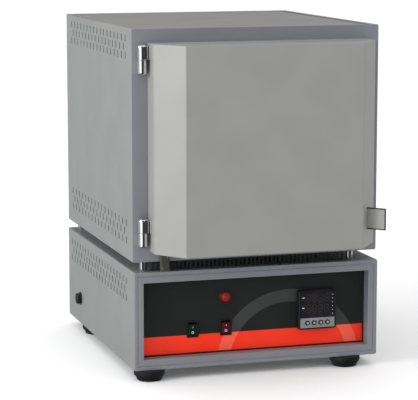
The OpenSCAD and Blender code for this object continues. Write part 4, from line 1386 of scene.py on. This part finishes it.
def controller_body():
    """Case with a raised frame whose face slopes in towards the window."""
    low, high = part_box("controller_case")
    face = rounded_box((low.x, low.z), (high.x, high.z), 3 * MM, steps=6)
    lip, drop = 2.2 * MM, 1.6 * MM
    stations = [(0.0, FASCIA_Y - low.y), (0.0, 1.2 * MM), (0.35 * MM, 0.35 * MM), (1.2 * MM, 0.0),
                (lip - 0.4 * MM, 0.0), (lip, 0.4 * MM), (lip + 0.5 * MM, drop), (5 * MM, drop)]
    bm = bmesh.new()
    rings = [ring_of(bm, [(x, low.y + depth, z) for x, z in face(inset)]) for inset, depth in stations]
    skin(bm, rings)
    bm.faces.new(rings[-1])
    tail = [(2.2 * MM, FASCIA_Y - low.y), (2.2 * MM, high.y - low.y - 1 * MM),
            (3.2 * MM, high.y - low.y)]
    back = [ring_of(bm, [(x, low.y + depth, z) for x, z in face(inset)]) for inset, depth in tail]
    skin(bm, [rings[0]] + back)
    bm.faces.new(back[-1])
    add_piece("controller_body", bm, "cabinet", "black_plastic", ["controller_case"])


def controller_face():
    """Window, keypad and the four keys with their dark rings."""
    finished_copy("controller_window", "smoked_window", 0.15 * MM)
    finished_copy("controller_keypad", "keypad_film", 0.15 * MM)
    for number in range(1, 5):
        key = f"controller_key_{number}"
        low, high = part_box(key)
        r = (high.x - low.x) / 2
        middle = Vector(((low.x + high.x) / 2, low.y, (low.z + high.z) / 2))
        face_r = r - 1.9 * MM
        dish = [(0.0, 0.30 * MM), (0.6 * face_r, 0.22 * MM), (face_r - 0.3 * MM, 0.05 * MM),
                (face_r - 0.05 * MM, 0.02 * MM), (face_r, 0.3 * MM)]
        bm = bmesh.new()
        add_turned(bm, dish, middle, (0, 1, 0), steps=40)
        add_piece(f"key_{number}_top", bm, f"key_{number}", "key_rubber")
        ring = [(face_r, 0.28 * MM), (face_r + 0.2 * MM, 0.04 * MM), (r - 0.3 * MM, 0.0),
                (r, 0.3 * MM), (r, high.y - low.y)]
        bm = bmesh.new()
        add_turned(bm, ring, middle, (0, 1, 0), steps=40)
        add_piece(f"key_{number}_ring", bm, f"key_{number}",
                  "key_rubber", [key], finish="black_plastic")


def rocker_switch(colour, slot):
    """Housing with its flange, and a dished paddle with the usual on and off marks."""
    finished_copy(f"{colour}_switch_housing", "black_plastic", 0.5 * MM, segments=3)
    finished_copy(f"{colour}_rocker", slot, 0.6 * MM, segments=3)
    pivot = joint_place(f"{colour}_rocker_tilt")
    turn = Matrix.Rotation(ROCKER_TILT, 3, "X")
    lift, print_thick = 0.06 * MM, 0.08 * MM

    def on_paddle(side):
        """A point on the upper (1) or lower (-1) half of the paddle's face."""
        slope = math.atan2(2.8 * MM, 10 * MM)

        def place(u, v, depth):
            reach = 5 * MM + v * side
            out = -5.6 * MM - math.tan(slope) * reach - lift + depth
            return pivot + turn @ Vector((u, out, side * reach))
        return place

    bm = bmesh.new()
    bar = rounded_box((-0.45 * MM, -1.9 * MM), (0.45 * MM, 1.9 * MM), 0.3 * MM, 2)
    add_plate(bm, bar, [], print_thick, 0.02 * MM, on_paddle(1))
    outer, inner = round_hole((0, 0), 2.2 * MM, 24), round_hole((0, 0), 1.35 * MM, 24)
    add_plate(bm, outer, [inner], print_thick, 0.02 * MM, on_paddle(-1))
    add_piece(f"{colour}_rocker_marks", bm, f"{colour}_rocker", slot, finish="white_print")


def pilot_lamp():
    """Dark ring nut, red bezel and a stepped red lens."""
    low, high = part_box("lamp_bezel")
    x, z = front_middle(low, high)
    r = (high.x - low.x) / 2
    rim = [(9.4 * MM, -0.2 * MM), (r - 0.3 * MM, 0.0), (r, 0.4 * MM), (r, 1.3 * MM),
           (r - 0.35 * MM, 1.7 * MM), (10.9 * MM, 3.6 * MM), (10.5 * MM, 4.0 * MM),
           (9.7 * MM, 4.0 * MM), (9.5 * MM, 3.7 * MM), (9.4 * MM, 0.3 * MM)]
    forward = [(radius, -rise) for radius, rise in rim]
    barrel = [(7.8 * MM, 0.0), (7.8 * MM, 23 * MM), (6.8 * MM, 24 * MM)]
    bm = bmesh.new()
    add_turned_round(bm, forward, (x, FASCIA_Y, z), sizes().round_steps)
    add_turned(bm, barrel, (x, FASCIA_Y, z), (0, 1, 0))
    add_piece("lamp_ring", bm, "cabinet", "lamp_body", ["lamp_bezel"])
    lens = [(9.3 * MM, 0.2 * MM), (9.3 * MM, 3.1 * MM), (9.0 * MM, 3.5 * MM), (8.3 * MM, 4.4 * MM),
            (8.0 * MM, 4.6 * MM), (5.7 * MM, 4.6 * MM), (5.3 * MM, 4.8 * MM), (4.6 * MM, 5.9 * MM),
            (3.6 * MM, 6.6 * MM), (2.4 * MM, 7.05 * MM), (1.2 * MM, 7.25 * MM), (0, 7.3 * MM)]
    bm = bmesh.new()
    add_turned(bm, lens, (x, FASCIA_Y, z), (0, -1, 0))
    add_piece("lamp_cover", bm, "cabinet", "lamp_red", ["lamp_lens"])


# ---- Feet, standoffs and small fittings ----


def rubber_feet():
    """Tapered rubber feet with two moulded ribs, a softened tread and a washer in the well."""
    low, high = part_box("feet")
    r, tip, tall = 28 * MM, 22.5 * MM, high.z - low.z
    profile = [(7 * MM, 5 * MM), (7 * MM, 0.6 * MM), (7.6 * MM, 0.0), (tip - 2.4 * MM, 0.0),
               (tip - 0.9 * MM, 0.5 * MM), (tip, 1.9 * MM), (tip + 0.9 * MM, 5 * MM),
               (tip + 0.5 * MM, 5.5 * MM), (tip + 1.7 * MM, 6.1 * MM), (r - 0.5 * MM, 10.2 * MM),
               (r - 1.1 * MM, 10.8 * MM), (r - 0.1 * MM, 11.4 * MM), (r, tall - 2.2 * MM),
               (r - 0.5 * MM, tall - 0.6 * MM), (r - 2 * MM, tall), (3.2 * MM, tall)]
    bm = bmesh.new()
    for x in (low.x + r, high.x - r):
        for y in (low.y + r, high.y - r):
            add_turned(bm, profile, (x, y, 0), (0, 0, 1))
    add_piece("rubber_feet", bm, "cabinet", "rubber", ["feet"])
    finished_copy("foot_screws", "zinc_steel", 0.4 * MM)


def hexagon(angle):
    """Radius factor of a hexagon whose corners lie at factor 1."""
    a = angle % (math.pi / 3) - math.pi / 6
    return math.cos(math.pi / 6) / math.cos(a)


def gap_standoffs():
    """Hexagon standoffs with turned ends."""
    across_flats, turned = 11 * MM, 5.5 * MM
    corner = across_flats / 2 / math.cos(math.pi / 6)
    gap_low, gap_high = BASE_HIGH.z, FURNACE_LOW.z
    body = [(turned - 0.8 * MM, 0), (turned, 0.6 * MM), (corner, 0.8 * MM),
            (corner, gap_high - gap_low - 0.8 * MM), (turned, gap_high - gap_low - 0.6 * MM),
            (turned - 0.8 * MM, gap_high - gap_low)]
    stud = [(2.9 * MM, 0), (2.9 * MM, 8.4 * MM), (2.3 * MM, 9 * MM)]

    def shape(angle, index):
        return hexagon(angle) if 1 < index < 4 else 1.0

    bm = bmesh.new()
    for x in STANDOFF_X:
        for y in (FURNACE_LOW.y + 7 * MM, FURNACE_HIGH.y - 20 * MM):
            add_turned(bm, body, (x, y, gap_low), (0, 0, 1), steps=48, shape=shape)
            for z, way in ((gap_low, -1), (gap_high, 1)):
                add_turned(bm, stud, (x, y, z), (0, 0, way), steps=24)
    add_piece("gap_standoffs", bm, "cabinet", "zinc_steel", ["standoffs"], finish="chrome")


def gap_strip():
    """Slotted dark strip across the front of the gap, with its foot: a black sheet that paints the
    shade of the gap, its slots giving it ribs.
    """
    low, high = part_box("gap_baffle")
    ribs, tall = 45, high.z - low.z
    pitch = (high.x - low.x - 6 * MM) / ribs
    outline = rounded_box((low.x, low.z), (high.x, high.z), 1 * MM, 3)
    wide = pitch - 3.4 * MM
    first = low.x + 5 * MM
    slots = [slot_hole((first + pitch * i + wide / 2, low.z + tall / 2), wide, tall - 6 * MM, 3)
             for i in range(ribs)]
    bm = bmesh.new()
    add_plate(bm, outline, slots, SHEET, 0.25 * MM, facing_front(low.y))
    foot = rounded_box((low.x, low.y + SHEET), (high.x, high.y), 0.5 * MM, 2)
    add_plate(bm, foot, [], SHEET, 0.25 * MM, facing_up(low.z + SHEET))
    # Painted shade: the black strip stands for the shade between the two boxes.
    add_piece("gap_strip", bm, "cabinet", "black_paint", ["gap_baffle"])


def door_switch():
    """Moulded switch with a parting groove and two rivets, and its plunger."""
    low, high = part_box("interlock_switch")
    outline = rounded_box(low.xy, high.xy, 1.4 * MM, steps=4)
    soft, groove = 0.8 * MM, 0.4 * MM
    middle = (low.z + high.z) / 2 + 3 * MM
    levels = [(soft, low.z), (0.2 * soft, low.z + 0.2 * soft), (0.0, low.z + soft),
              (0.0, middle - groove), (groove, middle - 0.4 * groove), (groove, middle + 0.4 * groove),
              (0.0, middle + groove), (0.0, high.z - soft), (0.2 * soft, high.z - 0.2 * soft),
              (soft, high.z)]
    bm = bmesh.new()
    rings = [ring_of(bm, [(x, y, z) for x, y in outline(inset)]) for inset, z in levels]
    skin(bm, rings)
    bm.faces.new(rings[0])
    bm.faces.new(rings[-1])
    add_piece("door_switch_body", bm, "cabinet", "brown_bakelite", ["interlock_switch"])
    places = [((low.x + high.x) / 2 + s * 4.5 * MM, low.y, z * MM + low.z)
              for s, z in ((-1, 6), (1, 25))]
    panel_screws("door_switch_rivets", places, (0, -1, 0), radius=1.5 * MM)
    finished_copy("interlock_plunger", "cream_nylon", 0.3 * MM)


def fuse():
    """Fuse holder with a knurled cap."""
    finished_copy("fuse_holder", "black_plastic", 0.4 * MM, segments=3)
    low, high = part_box("fuse_cap")
    y, z, r = (low.y + high.y) / 2, (low.z + high.z) / 2, (high.z - low.z) / 2
    out = 9 * MM - 2.3 * MM
    recess = cross_recess(0.62 * r, 0.11 * r)

    def shape(angle, index):
        if index > 8:
            return recess(angle)
        if 1 < index < 6:
            return 1 - 0.035 * (0.5 + 0.5 * math.cos(28 * angle))
        return 1.0

    profile = [(r - 0.6 * MM, 0), (r, 0.4 * MM), (r, 0.8 * MM), (r, out - 2.2 * MM),
               (r, out - 1.6 * MM), (r, out - 1.3 * MM), (r - 0.3 * MM, out - 0.6 * MM),
               (r - 1.0 * MM, out - 0.1 * MM), (r - 2.0 * MM, out), (1.0, out),
               (0.95, out - 1.5 * MM), (0.0001, out - 1.5 * MM)]
    barrel = [(4.7 * MM, 0), (4.7 * MM, 19 * MM), (4.2 * MM, 19.6 * MM)]
    bm = bmesh.new()
    add_turned(bm, profile, (low.x + out, y, z), (-1, 0, 0), steps=168, shape=shape)
    add_turned(bm, barrel, (low.x + out, y, z), (1, 0, 0), steps=40)
    add_piece("fuse_cap_knurled", bm, "fuse_cap", "black_plastic", ["fuse_cap"])


def mains_gland():
    """Nylon gland with a ribbed dome nut."""
    low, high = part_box("cable_gland")
    x, z = front_middle(low, high)
    bore, end = 5.5 * MM, high.y - BASE_BACK

    def shape(angle, index):
        if 2 <= index <= 5:
            return hexagon(angle)
        if 7 <= index <= 9:
            return 1 - 0.03 * (0.5 + 0.5 * math.cos(18 * angle))
        return 1.0

    profile = [(bore, -12 * MM), (9.8 * MM, -12 * MM), (13 * MM, 0.0), (14 * MM, 0.8 * MM),
               (14 * MM, 5.2 * MM), (13 * MM, 6 * MM), (11.3 * MM, 6.1 * MM), (11.5 * MM, 6.6 * MM),
               (11.5 * MM, 14 * MM), (11.2 * MM, 16 * MM), (10.2 * MM, 18.4 * MM),
               (8.8 * MM, 20.6 * MM), (7.6 * MM, end - 0.3 * MM), (7.0 * MM, end), (6.0 * MM, end),
               (bore, end - 0.6 * MM)]
    bm = bmesh.new()
    add_turned_round(bm, profile, (x, BASE_BACK, z), 72, shape)
    add_piece("mains_gland", bm, "cabinet", "black_plastic", ["cable_gland"])


# ---- Stage ----


def soft_light(name, location, width, power, target):
    """Square area light at location, turned towards target."""
    data = bpy.data.lights.new(name, "AREA")
    data.shape = "SQUARE"
    data.size, data.energy = width, power
    lamp = bpy.data.objects.new(name, data)
    lamp.location = location
    lamp.rotation_euler = (Vector(target) - Vector(location)).to_track_quat("-Z", "Y").to_euler()
    bpy.context.scene.collection.objects.link(lamp)


def pale_floor():
    """Wide pale floor with a faint unevenness."""
    bm = bmesh.new()
    reach = 60.0
    bmesh.ops.create_grid(bm, x_segments=8, y_segments=8, size=reach)
    mesh = finished_mesh(bm, "studio_floor")
    floor = bpy.data.objects.new("studio_floor", mesh)
    bpy.context.scene.collection.objects.link(floor)
    bench, shader = new_finish("studio_floor")
    cloud = bench.noise(bench.own_place(), 1.3, 3.0)
    bench.join(bench.mix(cloud, (0.90, 0.90, 0.90), (0.93, 0.93, 0.93)), shader.inputs["Base Color"])
    shader.inputs["Roughness"].default_value = 0.85
    shader.inputs["Specular IOR Level"].default_value = 0.2
    mesh.materials.append(MADE["studio_floor"])
    floor.visible_glossy = False


def studio_camera():
    """Long lens, low and from the left, as the kiln is usually shown."""
    data = bpy.data.cameras.new("camera")
    data.sensor_width, data.lens = 36.0, 162.03
    data.clip_end = 200.0
    camera = bpy.data.objects.new("camera", data)
    camera.location = (-1.0615, -3.3645, 0.8279)
    camera.rotation_euler = (math.radians(90 - 8.76), 0.0, math.radians(-17.15))
    bpy.context.scene.collection.objects.link(camera)
    bpy.context.scene.camera = camera


def studio_world():
    """Even white light; polished things mirror a darker room with a softbox and a bright ceiling."""
    world = bpy.data.worlds.new("studio_world")
    world.use_nodes = True
    bench = Bench(world.node_tree)
    towards = bench.vector("NORMALIZE", bench.node("ShaderNodeTexCoord").outputs["Generated"])
    softbox = bench.spread(bench.vector("DOT_PRODUCT", towards, (-0.80, -0.58, -0.15)), 0.87, 0.94)
    ceiling = bench.spread(bench.vector("DOT_PRODUCT", towards, (0.0, 0.0, 1.0)), 0.45, 0.75)
    parts = bench.node("ShaderNodeSeparateXYZ", {0: towards}).outputs
    wall = bench.spread(bench.math("ABSOLUTE", parts["X"]), 0.2, 0.9)
    behind = bench.spread(parts["Y"], -0.2, 0.6)
    lights = [(softbox, 1.0), (ceiling, 0.6), (wall, 0.26), (behind, 0.17)]
    mirrored = 0.04
    for light, power in lights:
        mirrored = bench.math("ADD", bench.math("MULTIPLY", light, power), mirrored)
    glossy = bench.node("ShaderNodeLightPath").outputs["Is Glossy Ray"]
    lit = bench.mix(glossy, (1.0, 1.0, 1.0), bench.node("ShaderNodeCombineColor", {
        0: mirrored, 1: mirrored, 2: mirrored}).outputs[0])
    background = bench.node("ShaderNodeBackground", {"Color": lit, "Strength": 1.15})
    bench.node("ShaderNodeOutputWorld", {"Surface": background.outputs[0]})
    bpy.context.scene.world = world
    bpy.context.scene.view_settings.view_transform = "Standard"


# ---- Operators ----


class KILN_OT_stage(Operator):
    """Set up the pale floor, the soft light and the camera"""
    bl_idname = "kiln.stage"
    bl_label = "Studio"

    def execute(self, context):
        middle = (cad_low + cad_high) / 2
        studio_camera()
        studio_world()
        pale_floor()
        soft_light("key_light", (-3.4, -0.9, 1.3), 1.6, 84.0, middle)
        return {"FINISHED"}


class KILN_OT_furnace_casing(Operator):
    """Make the front frame, sides, top, back and floor of the furnace box"""
    bl_idname = "kiln.furnace_casing"
    bl_label = "Furnace casing"

    def execute(self, context):
        furnace_front()
        furnace_side("furnace_left_side", -1)
        furnace_side("furnace_right_side", 1)
        furnace_lid()
        furnace_back()
        finished_copy("furnace_floor", "zinc_steel", 0.3 * MM)
        return {"FINISHED"}


class KILN_OT_base_casing(Operator):
    """Make the frame, sides, top, back and floor of the control base, and the rear screws"""
    bl_idname = "kiln.base_casing"
    bl_label = "Control base casing"

    def execute(self, context):
        base_front()
        base_side("base_left_side", -1)
        base_side("base_right_side", 1)
        base_back()
        finished_copy("base_top_plate", "frame_paint", 0.3 * MM)
        finished_copy("base_floor", "zinc_steel", 0.3 * MM)
        rear_screws()
        return {"FINISHED"}


class KILN_OT_door(Operator):
    """Make the door cover, its pull tab, lining, plug and rope seal"""
    bl_idname = "kiln.door"
    bl_label = "Door"

    def execute(self, context):
        door_cover()
        door_tab()
        door_lining()
        door_rope()
        return {"FINISHED"}


class KILN_OT_hinges(Operator):
    """Make the two lift-off hinges"""
    bl_idname = "kiln.hinges"
    bl_label = "Hinges"

    def execute(self, context):
        hinges()
        return {"FINISHED"}


class KILN_OT_chamber(Operator):
    """Make the bricks, fibre blocks, heating coils, hearth plate, flue and thermocouple"""
    bl_idname = "kiln.chamber"
    bl_label = "Firing chamber"

    def execute(self, context):
        finished_copy("mouth_bricks", "fire_brick", 2.0 * MM, segments=3)
        for block in ("floor", "roof", "left", "right", "back"):
            finished_copy(f"insulation_{block}", "ceramic_fibre", 0.8 * MM)
        finished_copy("hearth_plate", "hearth_ceramic", 1.6 * MM, segments=3)
        finished_copy("inner_case", "zinc_steel", 0.3 * MM)
        finished_copy("element_terminals", "white_ceramic", 0.8 * MM)
        wound_wire("heating_coil_left")
        wound_wire("heating_coil_right")
        thermocouple()
        flue()
        return {"FINISHED"}


class KILN_OT_controller(Operator):
    """Make the fascia and the temperature controller with its window, keypad and keys"""
    bl_idname = "kiln.controller"
    bl_label = "Fascia and controller"

    def execute(self, context):
        fascia_plate()
        fascia_bead()
        controller_body()
        controller_face()
        controller_figures()
        return {"FINISHED"}


class KILN_OT_switches(Operator):
    """Make the two rocker switches and the pilot lamp"""
    bl_idname = "kiln.switches"
    bl_label = "Switches and lamp"

    def execute(self, context):
        rocker_switch("green", "green_plastic")
        rocker_switch("red", "red_plastic")
        pilot_lamp()
        return {"FINISHED"}


class KILN_OT_gap_fittings(Operator):
    """Make the standoffs, the slotted strip that paints the gap's shade and the door switch between the
    boxes
    """
    bl_idname = "kiln.gap_fittings"
    bl_label = "Gap fittings"

    def execute(self, context):
        gap_standoffs()
        gap_strip()
        door_switch()
        return {"FINISHED"}


class KILN_OT_feet(Operator):
    """Make the rubber feet and their screws"""
    bl_idname = "kiln.feet"
    bl_label = "Feet"

    def execute(self, context):
        rubber_feet()
        return {"FINISHED"}


class KILN_OT_electrics(Operator):
    """Make the fuse, gland, terminal block, relay and heat sink"""
    bl_idname = "kiln.electrics"
    bl_label = "Electrics"

    def execute(self, context):
        fuse()
        mains_gland()
        finished_copy("terminal_block", "cream_nylon", 0.5 * MM)
        finished_copy("power_relay", "cream_nylon", 0.8 * MM)
        finished_copy("heat_sink", "bare_aluminium", 0.3 * MM)
        return {"FINISHED"}


STEPS = (KILN_OT_stage, KILN_OT_furnace_casing, KILN_OT_base_casing, KILN_OT_door, KILN_OT_hinges,
         KILN_OT_chamber, KILN_OT_controller, KILN_OT_switches, KILN_OT_gap_fittings, KILN_OT_feet,
         KILN_OT_electrics)


class KILN_PT_sidebar(Panel):
    """Lists the steps that build the kiln, with its sizes and colours"""
    bl_idname = "KILN_PT_sidebar"
    bl_label = "Chamber kiln"
    bl_space_type = "VIEW_3D"
    bl_region_type = "UI"
    bl_category = "Kiln"

    def draw(self, context):
        layout = self.layout
        for group in (context.scene.kiln_sizes, context.scene.kiln_colours):
            column = layout.column(align=True)
            for name in group.__annotations__:
                column.prop(group, name)
        steps = layout.column(align=True)
        for step in STEPS:
            steps.operator(step.bl_idname, text=step.bl_label)


CLASSES = (KilnColours, KilnSizes, *STEPS, KILN_PT_sidebar)


def register():
    for cls in CLASSES:
        bpy.utils.register_class(cls)
    bpy.types.Scene.kiln_colours = PointerProperty(type=KilnColours)
    bpy.types.Scene.kiln_sizes = PointerProperty(type=KilnSizes)


def unregister():
    del bpy.types.Scene.kiln_sizes
    del bpy.types.Scene.kiln_colours
    for cls in reversed(CLASSES):
        bpy.utils.unregister_class(cls)


def main():
    """Builds the whole kiln."""
    register()
    bpy.ops.kiln.stage()
    bpy.ops.kiln.furnace_casing()
    bpy.ops.kiln.base_casing()
    bpy.ops.kiln.door()
    bpy.ops.kiln.hinges()
    bpy.ops.kiln.chamber()
    bpy.ops.kiln.controller()
    bpy.ops.kiln.switches()
    bpy.ops.kiln.gap_fittings()
    bpy.ops.kiln.feet()
    bpy.ops.kiln.electrics()


if __name__ == "__main__":
    main()
